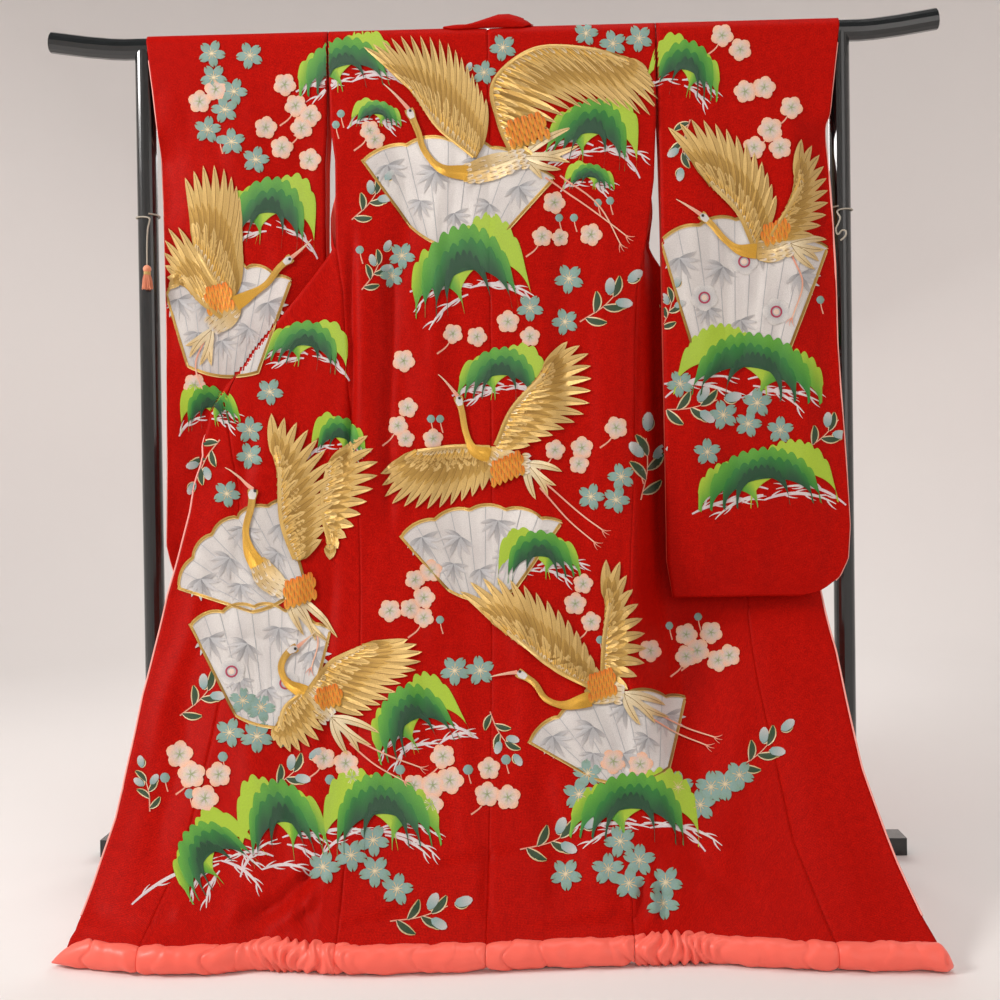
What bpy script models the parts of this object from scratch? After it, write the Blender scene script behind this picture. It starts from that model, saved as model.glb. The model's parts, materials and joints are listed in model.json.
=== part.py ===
import bpy
import bmesh
import math
import numpy as np

# Sizes in metres. The garment's back faces -Y, the stand stands along X, the floor is z = 0.
WALL = 0.002          # cloth and lining together
COLLAR_WALL = 0.004   # the collar is folded double
BAR_R = 0.0195        # top bar and posts are round
BAR_Z = 1.5285        # axis of the top bar
BAR_HALF = 0.83       # half length of the top bar
BAR_RISE = 0.017      # how far its ends turn up
POST_X = 0.651        # posts, left and right of the middle
RAIL_HALF = 0.754     # half length of the lower rail
RAIL_DEEP = 0.054
RAIL_TALL = 0.032
FOOT_LONG = 0.40      # feet run front to back
FOOT_WIDE = 0.060
FOOT_TALL = 0.030
LAP = 0.012           # height of the foot inside the lap joint
JOINT = 0.0004        # play in the stand's joints
CLOTH_R = 0.0214      # the cloth's middle surface over the bar
FOLD_R = 0.007        # radius of the turned back fold
HEM_Z = 0.0376        # lower edge of the panels, on the hem roll
ROLL_R = 0.0195       # hem roll, half its height
SEAM = 0.0002         # half of the room left at a seam
WRIST_Z = 1.346       # lower end of the wrist opening
SLEEVE_Z = 0.487      # lower edge of the sleeves
SEAM_Z = 1.139        # the side seams start here and run down
TIP_Z = 0.754         # the spread front narrows from here up, where the collar's line starts
COLLAR_TIP = 0.830    # lower end of the collar
OKUMI_Z = 1.25        # point of the okumi
NECK_X = 0.087        # half width of the neck at the shoulder
CORD_R = 0.0016       # tie cords
STRANDS = 14          # of the tassel
ACROSS = 12           # points across a panel

# Left side: z, side edge of the back, outline of the spread front, both as distances from the middle
LEFT_ROWS = [
    (0.037, 0.217, 0.616), (0.045, 0.217, 0.612), (0.090, 0.218, 0.607), (0.128, 0.219, 0.604),
    (0.171, 0.220, 0.599), (0.246, 0.220, 0.599), (0.346, 0.224, 0.595), (0.417, 0.227, 0.586),
    (0.509, 0.231, 0.573), (0.574, 0.234, 0.559), (0.654, 0.238, 0.543), (0.754, 0.250, 0.531),
    (0.801, 0.254, 0.520), (0.834, 0.257, 0.513), (0.883, 0.261, 0.485), (0.919, 0.263, 0.452),
    (0.956, 0.265, 0.427), (1.052, 0.270, 0.350), (1.139, 0.284, 0.284), (1.300, 0.285, 0.285),
    (1.363, 0.294, 0.294), (1.529, 0.2985, 0.2985),
]
RIGHT_ROWS = [
    (0.037, 0.215, 0.645), (0.060, 0.215, 0.636), (0.112, 0.217, 0.624), (0.139, 0.218, 0.620),
    (0.221, 0.223, 0.610), (0.345, 0.229, 0.610), (0.391, 0.233, 0.609), (0.498, 0.240, 0.594),
    (0.574, 0.244, 0.572), (0.654, 0.250, 0.553), (0.754, 0.256, 0.535), (0.801, 0.257, 0.520),
    (0.834, 0.258, 0.510), (0.883, 0.259, 0.480), (0.919, 0.260, 0.450), (0.956, 0.261, 0.425),
    (1.052, 0.268, 0.345), (1.139, 0.286, 0.290), (1.250, 0.302, 0.302), (1.363, 0.308, 0.308),
    (1.529, 0.3105, 0.3105),
]
# z, width of the front panel, width with the okumi above the collar's tip
WIDTHS = [
    (0.037, 0.287, 0.40), (0.135, 0.257, 0.40), (0.250, 0.247, 0.38), (0.390, 0.229, 0.36),
    (0.510, 0.220, 0.34), (0.700, 0.215, 0.285), (0.754, 0.219, 0.280), (0.850, 0.234, 0.284),
    (0.883, 0.219, 0.285), (0.919, 0.202, 0.286), (0.956, 0.184, 0.286), (0.990, 0.186, 0.284),
    (1.139, 0.207, 0.262), (1.250, 0.216, 0.240), (1.363, 0.216, 0.226), (1.529, 0.2135, 0.2135),
]
# x, how far the middle of the hem roll lies in front of the posts
HEM_LINE = [
    (-0.66, 0.515), (-0.60, 0.513), (-0.52, 0.532), (-0.474, 0.537), (-0.376, 0.534), (-0.33, 0.515),
    (-0.258, 0.525), (-0.217, 0.533), (-0.16, 0.535), (-0.024, 0.526), (0.10, 0.512), (0.186, 0.506),
    (0.239, 0.497), (0.28, 0.494), (0.324, 0.494), (0.36, 0.502), (0.42, 0.512), (0.482, 0.519),
    (0.55, 0.522), (0.61, 0.520), (0.66, 0.526),
]
# Folds: upper end x and z, lower end x and z, half width, height
FOLDS = [
    (-0.235, 1.10, -0.225, 0.72, 0.024, 0.008), (0.228, 1.05, 0.226, 0.70, 0.022, 0.006),
    (-0.12, 0.44, -0.24, 0.07, 0.034, 0.011), (-0.44, 0.40, -0.33, 0.07, 0.036, 0.012),
    (-0.29, 0.36, -0.285, 0.05, 0.030, 0.014), (0.12, 0.42, 0.23, 0.07, 0.034, 0.011),
    (0.43, 0.32, 0.33, 0.07, 0.036, 0.010), (0.275, 0.40, 0.28, 0.05, 0.030, 0.012),
    (-0.06, 0.95, -0.05, 0.45, 0.050, -0.004), (0.10, 1.05, 0.09, 0.50, 0.050, 0.004),
    (-0.42, 0.80, -0.46, 0.30, 0.045, 0.006), (0.50, 0.40, 0.53, 0.10, 0.040, 0.007),
]
# Outer edge of each sleeve: z, distance from the middle
SLEEVE_LEFT = [
    (0.487, 0.548), (0.497, 0.575), (0.512, 0.594), (0.531, 0.609), (0.555, 0.616), (0.587, 0.623),
    (0.713, 0.620), (0.955, 0.617), (1.067, 0.617), (1.234, 0.619), (1.372, 0.623), (1.443, 0.630),
    (1.538, 0.642), (1.560, 0.643),
]
SLEEVE_RIGHT = [
    (0.487, 0.555), (0.492, 0.572), (0.498, 0.593), (0.520, 0.622), (0.554, 0.638), (0.613, 0.643),
    (0.738, 0.639), (0.941, 0.630), (1.088, 0.630), (1.233, 0.625), (1.346, 0.618), (1.363, 0.625),
    (1.530, 0.647), (1.560, 0.649),
]
# Each sleeve: z, forward place of its middle surface, half its room
SLEEVE_DEPTH = {
    -1: [(0.487, 0.004, 0.0013), (0.56, 0.004, 0.007), (0.80, 0.003, 0.012), (1.10, 0.002, 0.017),
         (1.30, 0.001, 0.023), (1.45, 0.0, 0.024), (1.5285, 0.0, CLOTH_R)],
    1: [(0.487, 0.079, 0.0013), (0.56, 0.075, 0.005), (0.75, 0.063, 0.009), (1.00, 0.046, 0.012),
        (1.20, 0.032, 0.017), (1.30, 0.020, 0.021), (1.40, 0.005, 0.024), (1.5285, 0.0, CLOTH_R)],
}
SLEEVE_INNER = {-1: [(0.487, 0.300), (0.60, 0.306), (1.15, 0.308), (1.294, 0.306), (1.363, 0.3015),
                     (1.56, 0.3001)],
                1: [(0.487, 0.323), (0.552, 0.3135), (1.03, 0.3135), (1.30, 0.3135), (1.363, 0.3125),
                    (1.56, 0.3121)]}

for old in list(bpy.data.objects):
    bpy.data.objects.remove(old)
home = bpy.data.collections.new("uchikake_on_kimono_stand")
bpy.context.scene.collection.children.link(home)
cutters = bpy.data.collections.new("cutters")
bpy.context.scene.collection.children.link(cutters)
frame = bpy.data.objects.new("origin_frame", None)
home.objects.link(frame)


def material(name, colour, rough, metal=0.0):
    m = bpy.data.materials.new(name)
    m.use_nodes = True
    node = m.node_tree.nodes["Principled BSDF"]
    node.inputs["Base Color"].default_value = (*colour, 1.0)
    node.inputs["Roughness"].default_value = rough
    node.inputs["Metallic"].default_value = metal
    return m


def look(table, z, k):
    return float(np.interp(z, [r[0] for r in table], [r[k] for r in table]))


def smooth(t):
    t = min(max(t, 0.0), 1.0)
    return t * t * (3 - 2 * t)


def finish(name, mesh, mat):
    mesh.materials.append(mat)
    ob = bpy.data.objects.new(name, mesh)
    home.objects.link(ob)
    ob.parent = frame
    return ob


def sheet(name, rows, mat, wall=WALL):
    """a grid laid on rows of points (x, forward, z), given its wall by Solidify"""
    bm = bmesh.new()
    grid = bmesh.ops.create_grid(bm, x_segments=len(rows[0]) - 1, y_segments=len(rows) - 1, size=1.0)
    order = sorted(grid["verts"], key=lambda v: (round(v.co.y, 6), round(v.co.x, 6)))
    for vert, (x, d, z) in zip(order, [point for row in rows for point in row]):
        vert.co = (x, -d, z)
    bmesh.ops.triangulate(bm, faces=bm.faces)
    mesh = bpy.data.meshes.new(name)
    bm.to_mesh(mesh)
    bm.free()
    mesh.shade_smooth()
    ob = finish(name, mesh, mat)
    shell = ob.modifiers.new("wall", "SOLIDIFY")
    shell.thickness = wall
    shell.offset = 0.0
    shell.use_even_offset = False
    return ob


def tube(name, path, radius, mat, resolution=2):
    """a round bar, roll or cord along a path of points (x, forward, z)"""
    curve = bpy.data.curves.new(name, "CURVE")
    curve.dimensions = "3D"
    curve.bevel_depth = radius
    curve.bevel_resolution = resolution
    curve.use_fill_caps = True
    line = curve.splines.new("POLY")
    line.points.add(len(path) - 1)
    for point, (x, d, z) in zip(line.points, path):
        point.co = (x, -d, z, 1.0)
    return finish(name, curve, mat)


def outline(name, points, half, turn, place, mat):
    """a flat outline, drawn out by half its thickness each way and stood up"""
    curve = bpy.data.curves.new(name, "CURVE")
    curve.dimensions = "2D"
    curve.fill_mode = "BOTH"
    curve.extrude = half
    line = curve.splines.new("POLY")
    line.points.add(len(points) - 1)
    for point, (u, v) in zip(line.points, points):
        point.co = (u, v, 0.0, 1.0)
    line.use_cyclic_u = True
    ob = finish(name, curve, mat)
    ob.rotation_euler = turn
    ob.location = place
    return ob


def smooth_way(points, step):
    """points along a smooth curve through a route's own points"""
    pts = [np.array(p, float) for p in points]
    pts = [2 * pts[0] - pts[1]] + pts + [2 * pts[-1] - pts[-2]]
    way = []
    for a, b, c, e in zip(pts, pts[1:], pts[2:], pts[3:]):
        n = max(1, round(np.linalg.norm(c - b) / step))
        for k in range(n):
            t = k / n
            way.append(0.5 * (2 * b + (c - a) * t + (2 * a - 5 * b + 4 * c - e) * t * t
                              + (3 * b - a - 3 * c + e) * t ** 3))
    return [tuple(p) for p in way] + [tuple(pts[-2])]


def hem_line(x):
    return look(HEM_LINE, x, 1)


def folds(x, z):
    total = 0.0
    for xa, za, xb, zb, wide, high in FOLDS:
        t = (za - z) / (za - zb)
        if -0.35 < t < 1.35:
            middle = xa + (xb - xa) * t
            fade = smooth((t + 0.35) / 0.7) * smooth((1.35 - t) / 0.35)
            total += high * fade * math.exp(-((x - middle) / wide) ** 2)
    return total


def fall(z):
    """how far the back hangs in front of the posts at height z"""
    s = (BAR_Z - z) / BAR_Z
    return CLOTH_R + 0.13 * s + 0.40 * s ** 5


def hem_share(z):
    return math.exp(-(z - HEM_Z) / 0.11)


def back(x, z):
    d = fall(z) + (hem_line(x) - 0.0092 - fall(HEM_Z)) * hem_share(z)
    return d + folds(x, z) * min(1.0, (z - HEM_Z) / 0.05)


def behind_sleeve(x, z):
    """the right front panel hangs behind the sleeve and comes forward below it"""
    if z > 0.5:
        base = float(np.interp(z, [0.5, 0.75, 1.0, 1.15, BAR_Z],
                               [0.050, 0.030, 0.012, -0.002, 2 * FOLD_R - CLOTH_R]))
    else:
        base = 0.05 + 0.50 * (1 - z / 0.5) ** 1.5
    edge = 0.05 + 0.50 * (1 - HEM_Z / 0.5) ** 1.5
    base += (hem_line(x) - 0.0092 - edge) * hem_share(z)
    return base + folds(x, z) * min(1.0, max(0.0, (z - HEM_Z) / 0.05))


def far_side(z):
    """the front of the body behind the bar, down to the start of the side seam"""
    low = fall(SEAM_Z) - 2 * FOLD_R
    return low + (-CLOTH_R - low) * smooth((z - SEAM_Z) / (1.495 - SEAM_Z))


def near(side, x, z):
    """forward distance of the spread front panel, x from the middle"""
    if side < 0:
        if z > SEAM_Z:
            return far_side(z) + 2 * FOLD_R
        return back(-x, z)
    xs = look(RIGHT_ROWS, z, 1)
    wide = 0.3085 - xs if z > 0.5 else 0.0685 + (0.5 - z) * 0.25
    share = smooth((x - xs) / max(wide, 0.006) + smooth((z - 1.06) / 0.14))
    return back(x, z) * (1 - share) + behind_sleeve(x, z) * share


def front_point(side, z, q):
    """a point of the front, q across from its side edge"""
    table = LEFT_ROWS if side < 0 else RIGHT_ROWS
    xs, xf = look(table, z, 1), look(table, z, 2)
    arc = math.pi * FOLD_R
    out = xf - xs
    start = -out if z <= SEAM_Z else arc * min(1.0, (z - SEAM_Z) / 0.10)
    turn = xf - FOLD_R * smooth((z - TIP_Z + 0.06) / 0.06)
    turn = max(turn, xs + 0.0022)
    p = start + q
    if p <= 0:
        reach = min(out, 0.06)
        x = xf + p + (turn - xf) * max(0.0, 1 + p / reach)
        d = near(side, x, z)
    elif p < arc:
        a = p / FOLD_R
        x = turn + FOLD_R * math.sin(a)
        d = near(side, turn, z) - FOLD_R * (1 - math.cos(a))
    else:
        x = turn - (p - arc)
        rest = fall(z) if side < 0 and z < SEAM_Z else near(side, turn, z)
        if side > 0:
            rest = behind_sleeve(x, z)
        share = smooth((turn - x) / 0.04)
        d = near(side, turn, z) * (1 - share) + rest * share - 2 * FOLD_R
    return side * x, d, z


def spaced(side, z, low, high, n):
    """stations from low to high across the front, closer together round the turned fold"""
    table = LEFT_ROWS if side < 0 else RIGHT_ROWS
    out = look(table, z, 2) - look(table, z, 1)
    fold = out + math.pi * FOLD_R / 2
    q = np.linspace(low, high, 200)
    dense = 1 + 6 * np.exp(-((q - fold) / 0.015) ** 2) * smooth((z - 0.68) / 0.07) * (z < 1.26)
    total = np.concatenate([[0], np.cumsum((dense[1:] + dense[:-1]) / 2)])
    return np.interp(np.linspace(0, total[-1], n), total, q)


BACK_Z = [HEM_Z, 0.055, 0.075, 0.10, 0.13, 0.17, 0.22, 0.28, 0.35, 0.43, 0.53, 0.65, 0.78, 0.92, 1.05,
          1.139, 1.23, 1.31, 1.363, 1.42, 1.465, 1.490, 1.508, 1.518, BAR_Z]
FRONT_Z = [BAR_Z, 1.505, 1.46, 1.40, 1.33, 1.25, 1.205, 1.17, 1.139, 1.122, 1.105, 1.088, 1.065, 1.035,
           1.00, 0.975, 0.955, 0.938, 0.921, 0.904, 0.887, 0.870, 0.850, 0.830, 0.810, 0.790, 0.770,
           0.750, 0.72, 0.66, 0.59, 0.51, 0.43, 0.36, 0.29, 0.23, 0.18, 0.135, 0.10, 0.067, HEM_Z]


def width(side, z, k):
    table = LEFT_ROWS if side < 0 else RIGHT_ROWS
    out = look(table, z, 2) - look(table, z, 1)
    if k == 2 and z <= TIP_Z:
        return out
    if z >= 1.50 and k == 1:
        return look(table, z, 2) - NECK_X
    return look(WIDTHS, z, k)


def neck_edge(z):
    """inner edge of the back near the shoulder, where the collar sits"""
    return float(np.interp(z, [1.508, 1.518, BAR_Z, 1.56], [SEAM, 0.030, 0.058, NECK_X]))


def body(side, name, mat):
    table = LEFT_ROWS if side < 0 else RIGHT_ROWS
    rows = []
    for z in BACK_Z:
        a, b = neck_edge(z), look(table, z, 1) - (SEAM if z < SEAM_Z + 0.01 else 0.0)
        rows.append([(side * x, back(side * x, z) if z < 1.40 else fall(z), z)
                     for x in np.linspace(a, b, ACROSS)])
    b = look(table, BAR_Z, 1)
    for a in (0.42, 0.84, 1.26, math.pi / 2, 1.88, 2.30, 2.72):
        z = BAR_Z + CLOTH_R * math.sin(a)
        inner = 0.058 + (NECK_X - 0.058) * smooth(a / 1.26)
        rows.append([(side * x, CLOTH_R * math.cos(a), z) for x in np.linspace(inner, b, ACROSS)])
    for z in FRONT_Z:
        start = 0.0 if z > SEAM_Z + 0.05 else (0.0006 if side < 0 or z < 0.3 else 0.0024)
        qs = spaced(side, z, start, width(side, z, 1), ACROSS)[::-1]
        row = [front_point(side, z, q) for q in qs]
        if z > 1.50:
            row = [(side * (look(table, z, 2) - q), -CLOTH_R, z) for q in qs]
        rows.append(row)
    return sheet(name, rows, mat)


def okumi(side, name, mat):
    rows = []
    for z in FRONT_Z:
        if z > OKUMI_Z:
            continue
        low = width(side, z, 1) + (0.003 if z > 0.72 else 0.0006)
        high = max(width(side, z, 2), low + 0.012)
        rows.append([front_point(side, z, q) for q in spaced(side, z, low, high, 7)])
    return sheet(name, rows, mat)


def collar(name, mat):
    rows = []
    for side in (-1, 1):
        part = []
        for z in [q for q in FRONT_Z if COLLAR_TIP - 0.001 < q < BAR_Z][::-1]:
            low = width(side, z, 2) if z < OKUMI_Z + 0.001 else width(side, z, 1)
            low = max(low, width(side, z, 1) + (0.012 if z < OKUMI_Z + 0.001 else 0.0)) + 0.0022
            if z > 1.50:
                table = LEFT_ROWS if side < 0 else RIGHT_ROWS
                xs = look(table, z, 2)
                row = [(side * (xs - q), -CLOTH_R - 0.0020, z) for q in np.linspace(low, low + 0.05, 4)]
            else:
                row = [front_point(side, z, q) for q in np.linspace(low, low + 0.05, 4)]
            part.append(row)
        for x, d, z, ex, ed, ez in (
                (0.0848, -0.0240, 1.5285, 0.036, -0.0240, 1.5285),
                (0.0848, -0.0176, 1.5460, 0.036, -0.0176, 1.5465),
                (0.0848, 0.0000, 1.5535, 0.040, -0.0060, 1.5560),
                (0.0815, 0.0145, 1.5488, 0.046, 0.0030, 1.5605),
                (0.0600, 0.0226, 1.5395, 0.046, 0.0095, 1.5635),
                (0.0450, 0.0247, 1.5290, 0.036, 0.0125, 1.5660),
                (0.0250, 0.0250, 1.5205, 0.022, 0.0135, 1.5680)):
            lean = 0.004 if side > 0 else -0.006
            row = []
            for t in (0, 1 / 3, 2 / 3, 1):
                px, pd, pz = x + (ex - x) * t, d + (ed - d) * t, z + (ez - z) * t
                bulge = 0.0045 * math.sin(math.pi * t) if d > 0.005 else 0.0
                row.append((side * px, pd + bulge, pz + lean * t * smooth(d / 0.02)))
            part.append(row)
        rows.append(part)
    middle = []
    for t in (0, 1 / 3, 2 / 3, 1):
        middle.append((0.003, 0.0252 - 0.0122 * t + 0.0045 * math.sin(math.pi * t), 1.5135 + 0.055 * t))
    return sheet(name, rows[0] + [middle] + rows[1][::-1], mat, COLLAR_WALL)


def sleeve_point(side, x, z, layer):
    """x from the middle; layer 1 faces forward, -1 is behind"""
    edge = look(SLEEVE_LEFT if side < 0 else SLEEVE_RIGHT, z, 1)
    middle, room = look(SLEEVE_DEPTH[side], z, 1), look(SLEEVE_DEPTH[side], z, 2)
    shut = smooth((WRIST_Z + 0.03 - z) / 0.07)
    side_open = 1 - shut * (1 - smooth((edge - x) / 0.07))
    room = 0.0014 + (room - 0.0014) * side_open
    if side < 0:
        middle += 0.004 * math.sin((x - 0.3) * 22) * smooth((1.35 - z) / 0.3)
    else:
        middle += 0.003 * math.sin((x - 0.3) * 20) * smooth((1.20 - z) / 0.3)
    return side * x, middle + layer * room, z


def sleeve(side, name, mat):
    zs = [0.487, 0.497, 0.512, 0.531, 0.56, 0.60, 0.67, 0.76, 0.87, 0.98, 1.09, 1.18, 1.25, 1.30, 1.325,
          1.346, 1.372, 1.41, 1.45, 1.49, BAR_Z]
    outer = SLEEVE_LEFT if side < 0 else SLEEVE_RIGHT
    rows = []
    for layer in (1, -1):
        part = []
        for z in zs:
            a, b = look(SLEEVE_INNER[side], z, 1), look(outer, z, 1)
            t = 1 - (1 - np.linspace(0, 1, 10)) ** 1.25
            part.append([sleeve_point(side, a + (b - a) * k, z, layer) for k in t])
        if layer == 1:
            rows += part
            for a in (0.42, 0.84, 1.26, math.pi / 2, 1.88, 2.30, 2.72):
                z = BAR_Z + CLOTH_R * math.sin(a)
                i, o = look(SLEEVE_INNER[side], z, 1), look(outer, z, 1)
                t = 1 - (1 - np.linspace(0, 1, 10)) ** 1.25
                rows.append([(side * (i + (o - i) * k), CLOTH_R * math.cos(a), z) for k in t])
        else:
            rows += part[::-1]
    return sheet(name, rows, mat)


def roll(name, low, high, mat):
    """a padded roll along the hem"""
    n = max(3, round((high - low) / 0.026))
    way = [(low, hem_line(low))] + [(x, hem_line(x)) for x in np.linspace(low + 0.012, high - 0.012, n)]
    way[1] = (low + 0.012, way[0][1])
    way[-1] = (high - 0.012, hem_line(high))
    way.append((high, hem_line(high)))
    tube(name, [(x, d, ROLL_R * math.cos(math.pi / 10)) for x, d in way], ROLL_R, mat, 3)


def cylinder(name, radius, low, high, mat):
    """an upright cylinder from low to high"""
    bm = bmesh.new()
    bmesh.ops.create_cone(bm, cap_ends=True, segments=24, radius1=radius, radius2=radius,
                          depth=high - low)
    mesh = bpy.data.meshes.new(name)
    bm.to_mesh(mesh)
    bm.free()
    ob = finish(name, mesh, mat)
    ob.location = (0.0, 0.0, (low + high) / 2)
    return ob


red = material("red_brocade", (0.44, 0.008, 0.004), 0.62)
coral = material("coral_satin", (0.95, 0.14, 0.09), 0.42)
lacquer = material("black_lacquer", (0.006, 0.008, 0.008), 0.12)
cord = material("beige_cord", (0.55, 0.48, 0.38), 0.7)
tuft = material("orange_silk", (0.85, 0.34, 0.20), 0.6)

body(-1, "body_left", red)
body(1, "body_right", red)
okumi(-1, "okumi_left", red)
okumi(1, "okumi_right", red)
sleeve(-1, "sleeve_left", red)
sleeve(1, "sleeve_right", red)
collar("collar", red)

left_side = look(LEFT_ROWS, HEM_Z, 1)
right_side = look(RIGHT_ROWS, HEM_Z, 1)
left_okumi = left_side + width(-1, HEM_Z, 1)
right_okumi = right_side + width(1, HEM_Z, 1)
room = 0.0003
roll("hem_roll_okumi_left", -0.640, -left_okumi - room, coral)
roll("hem_roll_front_left", -left_okumi + room, -left_side - room, coral)
roll("hem_roll_back_left", -left_side + room, -room, coral)
roll("hem_roll_back_right", room, right_side - room, coral)
roll("hem_roll_front_right", right_side + room, right_okumi - room, coral)
roll("hem_roll_okumi_right", right_okumi + room, 0.664, coral)

rise = [(0.69, 0.0), (0.715, 0.0015), (0.76, 0.0065), (0.80, 0.0125), (BAR_HALF, BAR_RISE)]
bar = [(-x, 0.0, BAR_Z + up) for x, up in reversed(rise)] + [(x, 0.0, BAR_Z + up) for x, up in rise]
tube("stand_top_bar", bar, BAR_R, lacquer, 5)

saddle = cylinder("saddle_cutter", BAR_R + JOINT, -0.8, 0.8, lacquer)
saddle.rotation_euler = (0.0, math.pi / 2, 0.0)
saddle.location = (0.0, 0.0, BAR_Z)
saddle.hide_render = True
saddle.display_type = "WIRE"
home.objects.unlink(saddle)
cutters.objects.link(saddle)
for side, name in ((-1, "stand_post_left"), (1, "stand_post_right")):
    post = cylinder(name, BAR_R - 0.0005, RAIL_TALL + JOINT, BAR_Z - 0.003, lacquer)
    post.location.x = side * POST_X
    cut = post.modifiers.new("saddle", "BOOLEAN")
    cut.object = saddle

half = FOOT_WIDE / 2 + JOINT
rail = [(-RAIL_HALF, 0.0)]
for x in (-POST_X, POST_X):
    rail += [(x - half, 0.0), (x - half, LAP + JOINT), (x + half, LAP + JOINT), (x + half, 0.0)]
rail += [(RAIL_HALF, 0.0), (RAIL_HALF, RAIL_TALL), (-RAIL_HALF, RAIL_TALL)]
upright = (math.pi / 2, 0.0, 0.0)
outline("stand_lower_rail", rail, RAIL_DEEP / 2, upright, (0.0, 0.0, 0.0), lacquer)
lap = RAIL_DEEP / 2 + JOINT
long = FOOT_LONG / 2
foot = [(-long, 0.0), (long, 0.0), (long, FOOT_TALL * 0.6), (long - 0.02, FOOT_TALL), (lap, FOOT_TALL),
        (lap, LAP), (-lap, LAP), (-lap, FOOT_TALL), (-long + 0.02, FOOT_TALL), (-long, FOOT_TALL * 0.6)]
for side, name in ((-1, "stand_foot_left"), (1, "stand_foot_right")):
    outline(name, foot, FOOT_WIDE / 2, (math.pi / 2, 0.0, math.pi / 2), (side * POST_X, 0.0, 0.0), lacquer)


def round_post(side, z, start, turns, drop):
    """a cord's way round a post, as (x, forward, z)"""
    r = BAR_R + CORD_R + 0.0004
    return [(side * POST_X + r * math.cos(start + turns * k / 8), r * math.sin(start + turns * k / 8),
             z - drop * k / 8) for k in range(9)]


way = round_post(-1, 1.213, 1.2, -5.91, 0.006)
way += [(-0.6400, 0.0262, 1.2030), (-0.6385, 0.0300, 1.1960), (-0.6420, 0.0305, 1.1800),
        (-0.6440, 0.0300, 1.1500), (-0.6445, 0.0300, 1.1150)]
tube("tie_cord_left", smooth_way(way, 0.008), CORD_R, cord)
way = round_post(1, 1.200, 1.97, 5.88, 0.006)
way += [(0.6400, 0.0260, 1.190), (0.6370, 0.0360, 1.183), (0.6380, 0.0500, 1.172), (0.6330, 0.0560, 1.160),
        (0.6290, 0.0540, 1.150), (0.6330, 0.0520, 1.141), (0.6400, 0.0530, 1.148),
        (0.6460, 0.0570, 1.146), (0.6440, 0.0620, 1.136), (0.6350, 0.0630, 1.128)]
tube("tie_cord_right", smooth_way(way, 0.008), CORD_R, cord)

top = (-0.6445, -0.0300, 1.1150 - 0.0004)
bm = bmesh.new()
bmesh.ops.create_uvsphere(bm, u_segments=12, v_segments=8, radius=0.0075)
mesh = bpy.data.meshes.new("tie_tassel_left")
bm.to_mesh(mesh)
bm.free()
tassel = finish("tie_tassel_left", mesh, tuft)
tassel.location = (top[0], top[1], top[2] - 0.0075)
bm = bmesh.new()
for k in range(STRANDS):
    a = 2 * math.pi * k / STRANDS + 0.2
    inner, outer = (0.0035, 0.0105) if k % 2 else (0.0050, 0.0068)
    made = bmesh.ops.create_cone(bm, cap_ends=True, segments=4, radius1=0.0013, radius2=0.0010, depth=0.042)
    for v in made["verts"]:
        t = (0.021 - v.co.z) / 0.042
        reach = inner + (outer - inner) * t
        v.co.x += reach * math.cos(a)
        v.co.y += reach * math.sin(a)
        v.co.z -= 0.024
mesh = bpy.data.meshes.new("strands")
bm.to_mesh(mesh)
bm.free()
strands = finish("tassel_strands", mesh, tuft)
strands.location = tassel.location
strands.hide_render = True
strands.display_type = "WIRE"
home.objects.unlink(strands)
cutters.objects.link(strands)
join = tassel.modifiers.new("strands", "BOOLEAN")
join.operation = "UNION"
join.object = strands

bpy.context.view_layer.update()
low = np.array([1e9] * 3)
high = -low
graph = bpy.context.evaluated_depsgraph_get()
for ob in home.objects:
    if ob.type != "EMPTY":
        shape = ob.evaluated_get(graph).to_mesh()
        at = np.array([tuple(ob.matrix_world @ v.co) for v in shape.vertices])
        low, high = np.minimum(low, at.min(0)), np.maximum(high, at.max(0))
middle = (low + high) / 2
frame.location = (-middle[0], -middle[1], -low[2])
bpy.context.view_layer.update()
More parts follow.
